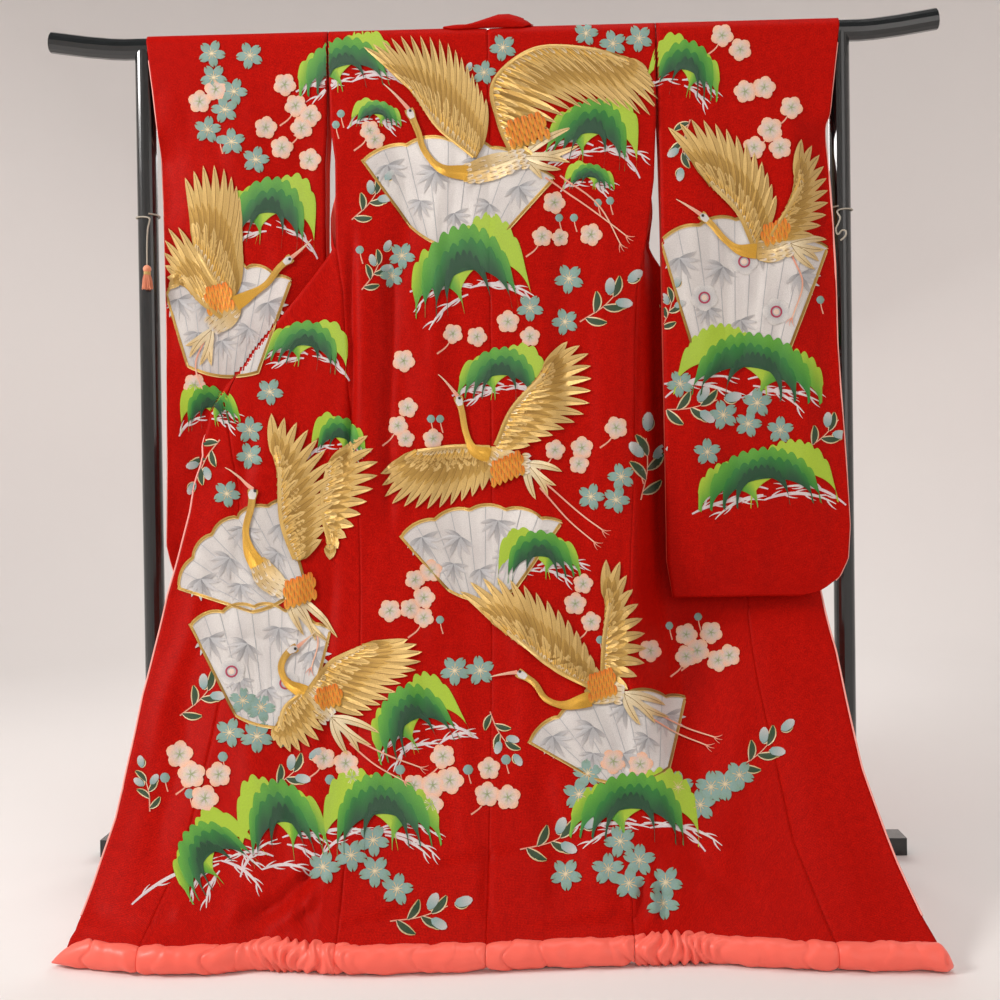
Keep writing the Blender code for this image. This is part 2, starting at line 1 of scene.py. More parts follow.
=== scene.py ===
import json
import math
import bpy
import bmesh
import numpy as np
from mathutils import Matrix, Vector
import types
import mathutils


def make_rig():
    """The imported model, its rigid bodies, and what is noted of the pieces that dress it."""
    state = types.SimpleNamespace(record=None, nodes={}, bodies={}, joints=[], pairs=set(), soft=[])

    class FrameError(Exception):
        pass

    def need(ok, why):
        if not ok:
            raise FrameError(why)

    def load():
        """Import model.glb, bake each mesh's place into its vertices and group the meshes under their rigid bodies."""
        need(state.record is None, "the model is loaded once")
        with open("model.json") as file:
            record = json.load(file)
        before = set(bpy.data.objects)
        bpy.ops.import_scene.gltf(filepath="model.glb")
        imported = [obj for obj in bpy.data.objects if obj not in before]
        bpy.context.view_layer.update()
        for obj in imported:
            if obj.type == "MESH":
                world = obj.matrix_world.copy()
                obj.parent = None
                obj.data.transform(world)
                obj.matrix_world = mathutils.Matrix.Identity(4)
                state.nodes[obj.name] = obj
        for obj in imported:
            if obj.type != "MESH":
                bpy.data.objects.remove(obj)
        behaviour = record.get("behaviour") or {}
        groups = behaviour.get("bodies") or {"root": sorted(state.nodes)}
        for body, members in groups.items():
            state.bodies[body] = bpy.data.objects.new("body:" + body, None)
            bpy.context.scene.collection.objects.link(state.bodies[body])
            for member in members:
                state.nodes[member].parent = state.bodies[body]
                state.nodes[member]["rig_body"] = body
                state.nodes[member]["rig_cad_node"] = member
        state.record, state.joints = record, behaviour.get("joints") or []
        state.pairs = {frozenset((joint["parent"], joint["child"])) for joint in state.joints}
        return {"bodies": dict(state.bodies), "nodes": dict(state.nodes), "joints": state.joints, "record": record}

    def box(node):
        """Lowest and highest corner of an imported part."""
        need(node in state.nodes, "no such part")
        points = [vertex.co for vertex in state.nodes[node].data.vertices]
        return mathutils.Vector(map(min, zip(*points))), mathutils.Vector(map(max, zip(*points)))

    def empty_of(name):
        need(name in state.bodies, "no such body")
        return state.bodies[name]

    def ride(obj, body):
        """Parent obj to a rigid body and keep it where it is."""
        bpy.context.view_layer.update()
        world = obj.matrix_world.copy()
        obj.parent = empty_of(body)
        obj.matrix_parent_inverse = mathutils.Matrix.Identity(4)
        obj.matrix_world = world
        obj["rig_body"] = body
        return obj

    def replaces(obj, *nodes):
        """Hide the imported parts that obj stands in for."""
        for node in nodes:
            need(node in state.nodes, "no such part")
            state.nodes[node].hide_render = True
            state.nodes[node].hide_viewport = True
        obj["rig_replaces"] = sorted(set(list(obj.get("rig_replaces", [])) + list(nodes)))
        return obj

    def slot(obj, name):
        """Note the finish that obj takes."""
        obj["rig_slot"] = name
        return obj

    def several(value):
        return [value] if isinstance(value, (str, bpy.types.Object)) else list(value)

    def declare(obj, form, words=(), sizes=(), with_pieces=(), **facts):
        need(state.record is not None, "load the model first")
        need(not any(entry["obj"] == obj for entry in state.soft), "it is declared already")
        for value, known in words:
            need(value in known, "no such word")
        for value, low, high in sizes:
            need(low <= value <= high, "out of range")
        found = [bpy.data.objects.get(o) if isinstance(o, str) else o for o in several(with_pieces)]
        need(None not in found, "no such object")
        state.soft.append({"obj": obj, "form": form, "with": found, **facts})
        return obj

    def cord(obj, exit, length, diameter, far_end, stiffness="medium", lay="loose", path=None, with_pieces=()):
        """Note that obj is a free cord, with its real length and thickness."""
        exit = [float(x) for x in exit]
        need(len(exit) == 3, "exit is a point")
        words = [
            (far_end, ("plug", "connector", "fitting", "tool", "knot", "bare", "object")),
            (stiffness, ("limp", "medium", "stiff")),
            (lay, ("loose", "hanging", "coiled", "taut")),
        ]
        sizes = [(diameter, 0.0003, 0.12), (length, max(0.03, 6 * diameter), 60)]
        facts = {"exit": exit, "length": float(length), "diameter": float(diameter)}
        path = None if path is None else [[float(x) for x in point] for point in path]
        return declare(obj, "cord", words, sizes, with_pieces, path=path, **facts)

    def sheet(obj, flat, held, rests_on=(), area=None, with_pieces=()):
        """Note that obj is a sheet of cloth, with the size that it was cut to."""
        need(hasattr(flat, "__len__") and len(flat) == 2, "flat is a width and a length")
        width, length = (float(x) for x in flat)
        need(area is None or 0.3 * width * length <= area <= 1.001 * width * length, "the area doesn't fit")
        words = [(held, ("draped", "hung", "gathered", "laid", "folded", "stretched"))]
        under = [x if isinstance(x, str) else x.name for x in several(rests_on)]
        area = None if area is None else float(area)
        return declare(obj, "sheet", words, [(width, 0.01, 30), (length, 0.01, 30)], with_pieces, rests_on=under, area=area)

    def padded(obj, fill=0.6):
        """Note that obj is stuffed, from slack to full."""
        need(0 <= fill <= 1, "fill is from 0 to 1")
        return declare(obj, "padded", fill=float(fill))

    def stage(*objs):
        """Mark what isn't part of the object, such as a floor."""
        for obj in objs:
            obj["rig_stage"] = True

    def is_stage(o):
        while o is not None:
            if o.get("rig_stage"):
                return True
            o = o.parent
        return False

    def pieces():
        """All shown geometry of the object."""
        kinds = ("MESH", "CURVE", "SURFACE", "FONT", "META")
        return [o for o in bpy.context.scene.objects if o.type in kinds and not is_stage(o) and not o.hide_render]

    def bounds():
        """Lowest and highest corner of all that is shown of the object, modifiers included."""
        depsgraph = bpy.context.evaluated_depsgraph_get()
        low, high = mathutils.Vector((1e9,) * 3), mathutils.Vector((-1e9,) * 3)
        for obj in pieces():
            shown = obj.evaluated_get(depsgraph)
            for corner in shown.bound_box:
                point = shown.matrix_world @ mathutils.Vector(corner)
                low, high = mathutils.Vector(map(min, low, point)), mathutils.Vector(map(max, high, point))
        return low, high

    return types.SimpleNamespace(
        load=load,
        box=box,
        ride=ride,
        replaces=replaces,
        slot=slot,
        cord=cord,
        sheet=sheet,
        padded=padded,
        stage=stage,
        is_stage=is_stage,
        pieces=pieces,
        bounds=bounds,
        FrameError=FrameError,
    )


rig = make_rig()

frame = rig.load()
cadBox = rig.bounds()
postLine = sum(corner.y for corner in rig.box("stand_post_left")) / 2  # y of the two posts

# The camera comes first. Places named by pixel are in the photograph's 1000 x 1000 frame.
view = dict(eye=(0.08775, -2.0205, 0.7173), turn=0.03503, pitch=0.0110, roll=0.0137,
            focal=1167.6, middle=(500.0, 485.1))


def makeCamera():
    turn, pitch = view["turn"], view["pitch"]
    ahead = Vector((-math.sin(turn) * math.cos(pitch), math.cos(turn) * math.cos(pitch), -math.sin(pitch)))
    level = Vector((math.cos(turn), math.sin(turn), 0.0))
    above = level.cross(ahead)
    c, s = math.cos(view["roll"]), math.sin(view["roll"])
    right, up = c * level - s * above, s * level + c * above
    data = bpy.data.cameras.new("photo_camera")
    data.lens = view["focal"] / 1000 * data.sensor_width
    data.shift_y = (view["middle"][1] - 500) / 1000
    camera = bpy.data.objects.new("photo_camera", data)
    bpy.context.scene.collection.objects.link(camera)
    camera.matrix_world = Matrix.Translation(view["eye"]) @ Matrix((right, up, -ahead)).transposed().to_4x4()
    bpy.context.scene.camera = camera
    return right, up, ahead


right, up, ahead = makeCamera()
eye = Vector(view["eye"])


def pixelWay(px, py):  # direction from the eye through a pixel, one metre deep
    return ahead + right * ((px - view["middle"][0]) / view["focal"]) - up * ((py - view["middle"][1]) / view["focal"])


print("camera ready")


class Wire:  # a node socket; an expression on it adds its own Math nodes
    def __init__(self, graph, socket):
        self.graph, self.socket = graph, socket

    def maths(self, operation, *values):
        return self.graph.maths(operation, *values)

    def __add__(self, other):
        return self.maths("ADD", self, other)

    __radd__ = __add__

    def __sub__(self, other):
        return self.maths("SUBTRACT", self, other)

    def __rsub__(self, other):
        return self.maths("SUBTRACT", other, self)

    def __mul__(self, other):
        return self.maths("MULTIPLY", self, other)

    __rmul__ = __mul__

    def __truediv__(self, other):
        return self.maths("DIVIDE", self, other)


class Graph:  # shared by materials and Geometry Nodes trees
    def put(self, socket, value):
        if isinstance(value, Wire):
            self.tree.links.new(value.socket, socket)
        else:
            socket.default_value = value

    def node(self, kind, settings=None, inputs=None, out=0):
        short = not kind.startswith(("GeometryNode", "FunctionNode"))
        node = self.tree.nodes.new("ShaderNode" + kind if short else kind)
        for key, value in (settings or {}).items():
            if key == "stops":
                stops = node.color_ramp.elements
                while len(stops) < len(value):
                    stops.new(1.0)
                for stop, (at, colour) in zip(stops, value):
                    stop.position, stop.color = at, (*colour, 1.0)
            else:
                setattr(node, key, value)
        for key, value in (inputs or {}).items():
            self.put(node.inputs[key], value)
        return Wire(self, node.outputs[out])

    def maths(self, operation, *values):
        return self.node("Math", dict(operation=operation), dict(enumerate(values)))

    def vector(self, operation, *values, out=0):
        return self.node("VectorMath", dict(operation=operation), dict(enumerate(values)), out)

    def scaled(self, vector, amount):
        return self.node("VectorMath", dict(operation="SCALE"), {0: vector, "Scale": amount})


class Finish(Graph):  # a material with a Principled shader
    def __init__(self, name, **plain):
        self.material = bpy.data.materials.new(name)
        self.material.use_nodes = True
        self.tree = self.material.node_tree
        self.shader = self.tree.nodes["Principled BSDF"]
        for key, value in plain.items():
            self.shader.inputs[key.replace("_", " ")].default_value = value

    def place(self):  # where on the piece, in metres
        return self.node("TexCoord", None, None, 3)

    def noise(self, where, scale, detail=2.0):
        return self.node("TexNoise", None, {"Vector": where, "Scale": scale, "Detail": detail})

    def mix(self, share, first, second):
        first = first if isinstance(first, Wire) else (*first, 1.0)
        second = second if isinstance(second, Wire) else (*second, 1.0)
        return self.node("Mix", dict(data_type="RGBA"), {0: share, 6: first, 7: second}, 2)

    def ramp(self, share, *stops):
        return self.node("ValToRGB", dict(stops=stops), {"Fac": share})

    def stretch(self, where, x, y, z):
        return self.node("Mapping", None, {"Vector": where, "Scale": (x, y, z)})

    def bump(self, height, strength, distance, under=None):
        inputs = {"Height": height, "Strength": strength, "Distance": distance}
        if under:
            inputs["Normal"] = under
        return self.node("Bump", None, inputs)

    def done(self, **varying):
        for key, value in varying.items():
            self.put(self.shader.inputs[key.replace("_", " ")], value)
        return self.material


class Rule(Graph):  # a Geometry Nodes tree with named inputs; it ends in realized geometry with a material
    kinds = {float: "NodeSocketFloat", tuple: "NodeSocketVector", str: "NodeSocketObject"}

    def __init__(self, name, **inputs):
        self.tree = bpy.data.node_groups.new(name, "GeometryNodeTree")
        face = self.tree.interface
        face.new_socket("Geometry", in_out="INPUT", socket_type="NodeSocketGeometry")
        face.new_socket("Material", in_out="INPUT", socket_type="NodeSocketMaterial")
        for key, value in inputs.items():
            socket = face.new_socket(key, in_out="INPUT", socket_type=self.kinds[type(value)])
            if not isinstance(value, str):
                socket.default_value = value
        face.new_socket("Geometry", in_out="OUTPUT", socket_type="NodeSocketGeometry")
        self.start = self.tree.nodes.new("NodeGroupInput")

    def given(self, name):
        return Wire(self, self.start.outputs[name])

    def end(self, shape):
        whole = self.node("GeometryNodeRealizeInstances", None, {0: shape})
        dressed = self.node("GeometryNodeSetMaterial", None, {0: whole, "Material": self.given("Material")})
        self.tree.links.new(dressed.socket, self.tree.nodes.new("NodeGroupOutput").inputs[0])
        return self

    def follow(self, piece, **values):  # the result as the piece's plain mesh
        modifier = piece.modifiers.new("rule", "NODES")
        modifier.node_group = self.tree
        for item in self.tree.interface.items_tree:
            if item.in_out == "INPUT" and item.name in values:
                modifier[item.identifier] = values[item.name]
        graph = bpy.context.evaluated_depsgraph_get()
        mesh = bpy.data.meshes.new_from_object(piece.evaluated_get(graph), preserve_all_data_layers=True,
                                               depsgraph=graph)
        piece.modifiers.clear()
        piece.data = mesh
        mesh.shade_smooth()
        return piece


def loose(name, verts, edges=(), faces=()):  # a new object in the scene
    mesh = bpy.data.meshes.new(name)
    mesh.from_pydata([tuple(v) for v in verts], list(edges), list(faces))
    piece = bpy.data.objects.new(name, mesh)
    bpy.context.scene.collection.objects.link(piece)
    return piece


def quads(n, m, base=0, flip=False, ring=False):  # the faces of n rows of m points
    faces = []
    for r in range(n - 1):
        for c in range(m if ring else m - 1):
            a, b = base + r * m + c, base + r * m + (c + 1) % m
            faces.append((a, b, b + m, a + m)[::-1 if flip else 1])
    return faces


def layMap(mesh, name, flat):  # a UV map from one flat place a vertex
    ids = np.empty(len(mesh.loops), int)
    mesh.loops.foreach_get("vertex_index", ids)
    mesh.uv_layers.new(name=name).data.foreach_set("uv", np.array(flat, float)[ids].ravel())


def sewn(piece, slot, *nodes):
    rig.ride(piece, "root")
    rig.slot(piece, slot)
    if nodes:
        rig.replaces(piece, *nodes)
    return piece


def brocadeFinish():  # red figured silk, mottled by its weave
    cloth = Finish("red_brocade", Specular_IOR_Level=0.05)
    flat = cloth.node("UVMap", dict(uv_map="weave"))
    place = cloth.place()
    warp = cloth.node("TexWave", dict(bands_direction="X"),
                      {"Vector": flat, "Scale": 150.0, "Distortion": 3.0, "Detail": 2.0, "Detail Scale": 3.0}, 1)
    weft = cloth.node("TexWave", dict(bands_direction="Y"),
                      {"Vector": flat, "Scale": 120.0, "Distortion": 4.0, "Detail": 2.0, "Detail Scale": 3.0}, 1)
    fleck = cloth.noise(cloth.stretch(flat, 1.0, 0.75, 1.0), 430.0, 3.0)
    blotch = cloth.noise(cloth.stretch(flat, 1.0, 0.8, 1.0), 90.0, 2.0)
    cloud = cloth.noise(place, 5.0, 3.0)
    grain = fleck * 0.5 + blotch * 0.2 + warp * 0.15 + weft * 0.15
    tone = cloth.ramp(grain, (0.30, (0.24, 0.0018, 0.0007)), (0.50, (0.43, 0.0036, 0.0011)),
                      (0.70, (0.62, 0.0080, 0.0020)))
    shade = cloth.ramp(cloud, (0.35, (0.0, 0.0, 0.0)), (0.7, (0.35, 0.35, 0.35)))
    colour = cloth.mix(shade, tone, (0.36, 0.0026, 0.0008))
    normal = cloth.bump(grain, 0.30, 0.0012, cloth.bump(cloud, 0.25, 0.004))
    return cloth.done(Base_Color=colour, Roughness=fleck * 0.18 + 0.42, Normal=normal)


def satinFinish(name, low, high):  # smooth lining satin and padded hem
    cloth = Finish(name, Specular_IOR_Level=0.4, Sheen_Weight=0.10)
    place = cloth.place()
    thread = cloth.noise(cloth.stretch(place, 1.0, 3.0, 9.0), 260.0, 2.0)
    cloud = cloth.noise(place, 9.0, 2.0)
    colour = cloth.mix(cloud * 0.7 + thread * 0.3, low, high)
    return cloth.done(Base_Color=colour, Roughness=thread * 0.16 + 0.32, Normal=cloth.bump(thread, 0.14, 0.0008))


def lacquerFinish():
    coat = Finish("black_lacquer", Coat_Weight=0.6, Coat_Roughness=0.08, Specular_IOR_Level=0.5)
    place = coat.place()
    dust = coat.noise(place, 60.0, 4.0)
    swell = coat.noise(place, 3.5, 2.0)
    colour = coat.mix(dust, (0.0014, 0.0028, 0.0034), (0.0040, 0.0062, 0.0070))
    return coat.done(Base_Color=colour, Roughness=dust * 0.14 + swell * 0.10 + 0.10,
                     Normal=coat.bump(swell, 0.06, 0.004))


def stitchFinish():  # silk and couched gold threads, their colour drawn into the strips
    silk = Finish("embroidery_silk", Specular_IOR_Level=0.45, Sheen_Weight=0.12)
    tint = silk.node("Attribute", dict(attribute_name="thread"), None, 0)
    gold = silk.node("Attribute", dict(attribute_name="shine"), None, 2)
    flat = silk.node("UVMap", dict(uv_map="stitch"))
    lines = silk.node("TexWave", dict(bands_direction="X"),
                      {"Vector": flat, "Scale": 0.55, "Distortion": 0.6, "Detail": 1.0}, 1)
    fleck = silk.noise(flat, 0.9, 3.0)
    tone = silk.node("HueSaturation", None, {"Value": fleck * 0.45 + lines * 0.30 + 0.62, "Color": tint})
    rough = fleck * 0.20 + 0.42 - gold * 0.16
    return silk.done(Base_Color=tone, Metallic=gold * 0.55, Roughness=rough, Normal=silk.bump(lines, 0.5, 0.0006))


def plyFinish(name, low, high, rough):  # twisted or loose thread
    yarn = Finish(name, Specular_IOR_Level=0.35, Sheen_Weight=0.2)
    place = yarn.place()
    fuzz = yarn.noise(yarn.stretch(place, 1.0, 1.0, 0.3), 900.0, 2.0)
    return yarn.done(Base_Color=yarn.mix(fuzz, low, high), Roughness=fuzz * 0.2 + rough,
                     Normal=yarn.bump(fuzz, 0.3, 0.0004))


brocade = brocadeFinish()
lining = satinFinish("coral_lining", (0.82, 0.090, 0.055), (0.98, 0.15, 0.10))
hemSatin = satinFinish("coral_satin", (0.96, 0.115, 0.075), (1.0, 0.175, 0.125))
pipingSatin = satinFinish("pink_piping", (0.88, 0.30, 0.24), (0.98, 0.46, 0.40))
lacquer = lacquerFinish()
stitched = stitchFinish()
cordYarn = plyFinish("beige_cord", (0.30, 0.26, 0.20), (0.58, 0.53, 0.44), 0.6)
tasselSilk = plyFinish("peach_tassel", (0.72, 0.20, 0.09), (0.90, 0.40, 0.24), 0.4)
goldThread = plyFinish("gold_thread", (0.45, 0.26, 0.06), (0.75, 0.52, 0.20), 0.4)


# The gown's shape, on its solids: distances from the middle, heights, and metres forward of the posts
gown = dict(wall=0.0018, collarWall=0.0036, barHeight=1.5285, overBar=0.0214, foldRadius=0.007, hem=0.0376,
            sideSeam=1.139, collarLine=0.754, okumiPoint=1.25, collarTip=0.830, neck=0.087, wrist=1.346,
            seamRoom=-0.0003, step=0.0075, behindRoll=0.0092, lean=0.13, trail=0.40, creaseGain=2.7, onBar=1.50,
            insideRoll=[0.029, 0.033])
# height, side edge of the back, outline of the spread front
leftRows = [
    (0.037, 0.217, 0.616), (0.045, 0.217, 0.612), (0.090, 0.218, 0.607), (0.128, 0.219, 0.604),
    (0.171, 0.220, 0.599), (0.246, 0.220, 0.599), (0.346, 0.224, 0.595), (0.417, 0.227, 0.586),
    (0.509, 0.231, 0.573), (0.574, 0.234, 0.559), (0.654, 0.238, 0.543), (0.754, 0.250, 0.531),
    (0.801, 0.254, 0.520), (0.834, 0.257, 0.513), (0.883, 0.261, 0.485), (0.919, 0.263, 0.452),
    (0.956, 0.265, 0.427), (1.052, 0.270, 0.350), (1.139, 0.284, 0.284), (1.300, 0.285, 0.285),
    (1.363, 0.294, 0.294), (1.529, 0.2985, 0.2985)]
rightRows = [
    (0.037, 0.215, 0.645), (0.060, 0.215, 0.636), (0.112, 0.217, 0.624), (0.139, 0.218, 0.620),
    (0.221, 0.223, 0.610), (0.345, 0.229, 0.610), (0.391, 0.233, 0.609), (0.498, 0.240, 0.594),
    (0.574, 0.244, 0.572), (0.654, 0.250, 0.553), (0.754, 0.256, 0.535), (0.801, 0.257, 0.520),
    (0.834, 0.258, 0.510), (0.883, 0.259, 0.480), (0.919, 0.260, 0.450), (0.956, 0.261, 0.425),
    (1.052, 0.268, 0.345), (1.139, 0.286, 0.290), (1.250, 0.302, 0.302), (1.363, 0.308, 0.308),
    (1.529, 0.3105, 0.3105)]
sideRows = {-1: leftRows, 1: rightRows}
# height, width of the front panel, width with the okumi
panelWidths = [
    (0.037, 0.287, 0.40), (0.135, 0.257, 0.40), (0.250, 0.247, 0.38), (0.390, 0.229, 0.36),
    (0.510, 0.220, 0.34), (0.700, 0.215, 0.285), (0.754, 0.219, 0.280), (0.850, 0.234, 0.284),
    (0.883, 0.219, 0.285), (0.919, 0.202, 0.286), (0.956, 0.184, 0.286), (0.990, 0.186, 0.284),
    (1.139, 0.207, 0.262), (1.250, 0.216, 0.240), (1.363, 0.216, 0.226), (1.529, 0.2135, 0.2135)]
# across, how far forward the hem roll lies
hemLine = [
    (-0.66, 0.515), (-0.60, 0.513), (-0.52, 0.532), (-0.474, 0.537), (-0.376, 0.534), (-0.33, 0.515),
    (-0.258, 0.525), (-0.217, 0.533), (-0.16, 0.535), (-0.024, 0.526), (0.10, 0.512), (0.186, 0.506),
    (0.239, 0.497), (0.28, 0.494), (0.324, 0.494), (0.36, 0.502), (0.42, 0.512), (0.482, 0.519),
    (0.55, 0.522), (0.61, 0.520), (0.66, 0.526)]
# upper end across and height, lower end across and height, half width, rise
deepFolds = [
    (-0.235, 1.10, -0.225, 0.72, 0.024, 0.008), (0.228, 1.05, 0.226, 0.70, 0.022, 0.006),
    (-0.12, 0.44, -0.24, 0.07, 0.034, 0.011), (-0.44, 0.40, -0.33, 0.07, 0.036, 0.012),
    (-0.29, 0.36, -0.285, 0.05, 0.030, 0.014), (0.12, 0.42, 0.23, 0.07, 0.034, 0.011),
    (0.43, 0.32, 0.33, 0.07, 0.036, 0.010), (0.275, 0.40, 0.28, 0.05, 0.030, 0.012),
    (-0.06, 0.95, -0.05, 0.45, 0.050, -0.004), (0.10, 1.05, 0.09, 0.50, 0.050, 0.004),
    (-0.42, 0.80, -0.46, 0.30, 0.045, 0.006), (0.50, 0.40, 0.53, 0.10, 0.040, 0.007)]
sleeveEdge = {-1: [
    (0.487, 0.548), (0.497, 0.575), (0.512, 0.594), (0.531, 0.609), (0.555, 0.616), (0.587, 0.623),
    (0.713, 0.620), (0.955, 0.617), (1.067, 0.617), (1.234, 0.619), (1.372, 0.623), (1.443, 0.630),
    (1.538, 0.642), (1.560, 0.643)], 1: [
    (0.487, 0.555), (0.492, 0.572), (0.498, 0.593), (0.520, 0.622), (0.554, 0.638), (0.613, 0.643),
    (0.738, 0.639), (0.941, 0.630), (1.088, 0.630), (1.233, 0.625), (1.346, 0.618), (1.363, 0.625),
    (1.530, 0.647), (1.560, 0.649)]}
# height, forward place of the sleeve's middle, half its room
sleeveDepth = {
    -1: [(0.487, 0.004, 0.0013), (0.56, 0.004, 0.007), (0.80, 0.003, 0.012), (1.10, 0.002, 0.017),
         (1.30, 0.001, 0.023), (1.45, 0.0, 0.024), (1.5285, 0.0, 0.0214)],
    1: [(0.487, 0.079, 0.0013), (0.56, 0.075, 0.005), (0.75, 0.063, 0.009), (1.00, 0.046, 0.012),
        (1.20, 0.032, 0.017), (1.30, 0.020, 0.021), (1.40, 0.005, 0.024), (1.5285, 0.0, 0.0214)]}
sleeveInner = {-1: [(0.487, 0.300), (0.60, 0.306), (1.15, 0.308), (1.294, 0.306), (1.363, 0.3015), (1.56, 0.3001)],
               1: [(0.487, 0.323), (0.552, 0.3135), (1.03, 0.3135), (1.30, 0.3135), (1.363, 0.3125), (1.56, 0.3121)]}


def along(table, at, column=1):
    return np.interp(at, [row[0] for row in table], [row[column] for row in table])


def ease(t):
    t = np.clip(t, 0.0, 1.0)
    return t * t * (3 - 2 * t)


def foldsAt(table, x, z):
    total = np.zeros_like(np.asarray(x, float))
    for xa, za, xb, zb, wide, rise in table:
        t = (za - z) / (za - zb)
        fade = ease((t + 0.35) / 0.7) * ease((1.35 - t) / 0.35)
        total = total + rise * fade * np.exp(-((x - (xa + (xb - xa) * t)) / wide) ** 2)
    return total


def hang(z):  # how far forward the back hangs
    s = (gown["barHeight"] - z) / gown["barHeight"]
    return gown["overBar"] + gown["lean"] * s + gown["trail"] * s ** 5


def hemShare(z):
    return math.exp(-(z - gown["hem"]) / 0.11)


def cadBack(x, z):
    d = hang(z) + (along(hemLine, x) - gown["behindRoll"] - hang(gown["hem"])) * hemShare(z)
    return d + foldsAt(deepFolds, x, z) * min(1.0, (z - gown["hem"]) / 0.05)


def onBack(px, py):  # (across, height) of the gown's near face behind a pixel
    way, t = pixelWay(px, py), 2.0
    for _ in range(40):
        p = eye + way * t
        t += 0.6 * (postLine - cadBack(p.x, max(p.z, gown["hem"])) - p.y) / way.y
    return p.x, p.z


# Creases seen on the near face: pixels of both ends, half width and rise in millimetres
seenCreases = [
    ((322, 872), (243, 935), 13, -7.0), ((338, 868), (262, 936), 11, 5.0), ((300, 880), (306, 938), 7, -4.0),
    ((89, 919), (158, 929), 7, -3.0), ((60, 928), (150, 921), 6, 2.2), ((150, 930), (232, 915), 9, -3.2),
    ((176, 905), (184, 934), 10, 2.6), ((246, 900), (205, 936), 9, 3.2), ((330, 935), (400, 912), 8, -4.5),
    ((392, 913), (478, 928), 8, -4.2), ((340, 922), (420, 902), 9, 3.0), ((470, 925), (524, 938), 7, -3.2),
    ((436, 869), (512, 855), 6, -2.6), ((500, 857), (585, 859), 4, -1.3), ((486, 850), (488, 938), 9, -3.0),
    ((528, 931), (640, 921), 7, -3.8), ((530, 921), (610, 913), 9, 2.6), ((542, 770), (566, 920), 22, -4.0),
    ((590, 800), (604, 915), 20, 3.4), ((646, 880), (632, 938), 7, -4.0), ((660, 885), (668, 936), 7, -4.4),
    ((650, 870), (652, 930), 7, 4.2), ((655, 836), (760, 908), 16, -8.0), ((750, 905), (846, 930), 12, -5.0),
    ((670, 826), (790, 895), 16, 4.0), ((694, 921), (790, 926), 6, -2.8), ((790, 925), (925, 926), 6, -2.6),
    ((830, 871), (895, 869), 8, -2.4), ((771, 787), (858, 766), 4, -1.6), ((800, 905), (905, 903), 10, 2.0),
    ((690, 935), (760, 917), 7, 2.4), ((150, 470), (345, 462), 4, -1.2), ((352, 462), (632, 462), 4, -0.9),
    ((205, 640), (352, 636), 5, -1.0), ((362, 660), (628, 664), 4, -0.9), ((110, 790), (345, 792), 4, -1.0),
    ((404, 150), (398, 420), 22, -2.4), ((438, 170), (430, 500), 18, 1.8), ((560, 150), (566, 420), 20, -2.2),
    ((604, 240), (598, 560), 18, 2.0), ((352, 240), (350, 470), 8, -4.0), ((390, 250), (388, 520), 10, -3.4),
    ((640, 300), (638, 480), 6, -3.2), ((652, 290), (650, 470), 6, 2.6), ((250, 420), (225, 640), 16, -2.6),
    ((300, 480), (280, 760), 20, 2.8), ((205, 560), (150, 760), 18, 2.2), ((330, 560), (322, 780), 12, -2.4),
    ((700, 640), (735, 820), 20, -2.6), ((770, 640), (812, 840), 20, 2.4), ((520, 560), (525, 760), 20, 2.0),
    ((420, 560), (424, 780), 22, -2.2), ((455, 640), (470, 860), 16, 2.2), ((190, 700), (150, 870), 20, -3.0)]
gathers = [(-0.272, 0.072), (0.262, 0.066)]  # middle and half width of the hem's drawn-up stretches
creases = []
for (ax, ay), (bx, by), wide, rise in seenCreases:
    creases.append((onBack(ax, ay), onBack(bx, by), wide / 1000, rise / 1000))


def creasesAt(x, z):
    total = np.zeros_like(np.asarray(x, float))
    for (xa, za), (xb, zb), wide, rise in creases:
        sx, sz = xb - xa, zb - za
        long = math.hypot(sx, sz)
        t = ((x - xa) * sx + (z - za) * sz) / long ** 2
        away = ((x - xa) * sz - (z - za) * sx) / long
        away = away + 0.25 * wide * np.sin(t * 9 + xa * 40)
        fade = ease((t + 0.12) / 0.3) * ease((1.12 - t) / 0.3)
        total = total + rise * fade * np.exp(-(away / wide) ** 2)
    return total


def unevenAt(x, z):  # slow unevenness of a heavy lined cloth
    return (0.0015 * np.sin(x * 31 + 2.2 * np.sin(z * 7.1)) * np.sin(z * 13 + x * 5 + 1.3)
            + 0.0009 * np.sin(x * 73 + z * 19) * np.sin(z * 41 - x * 23 + 0.7)
            + 0.00025 * np.sin(x * 190 + 3 * np.sin(z * 60)) * np.sin(z * 170 + x * 40))


def pleatsAt(x, z):  # fine pleats that run up from the drawn-up stretches of the hem, and dips at the seams
    total = -0.0010 * np.exp(-(x / 0.004) ** 2)
    for middle, wide in gathers:
        q = (x - middle) / wide
        fan = q * (1 - 0.9 * min(1.0, max(0.0, z - gown["hem"]) / 0.16))
        fade = np.exp(-(q / 1.25) ** 4) * math.exp(-max(0.0, z - gown["hem"]) / 0.055)
        total = total + 0.0042 * fade * (np.sin(fan * 21 + 1.6 * np.sin(fan * 7)) * 0.6
                                         + 0.5 * np.sin(fan * 34 + z * 60))
    return total


def nearFace(x, z):
    low = max(0.25, min(1.0, (z - gown["hem"]) / 0.03)) * min(1.0, max(0.0, (gown["onBar"] - z) / 0.1))
    return cadBack(x, z) + (gown["creaseGain"] * creasesAt(x, z) + unevenAt(x, z) + pleatsAt(x, z)) * low


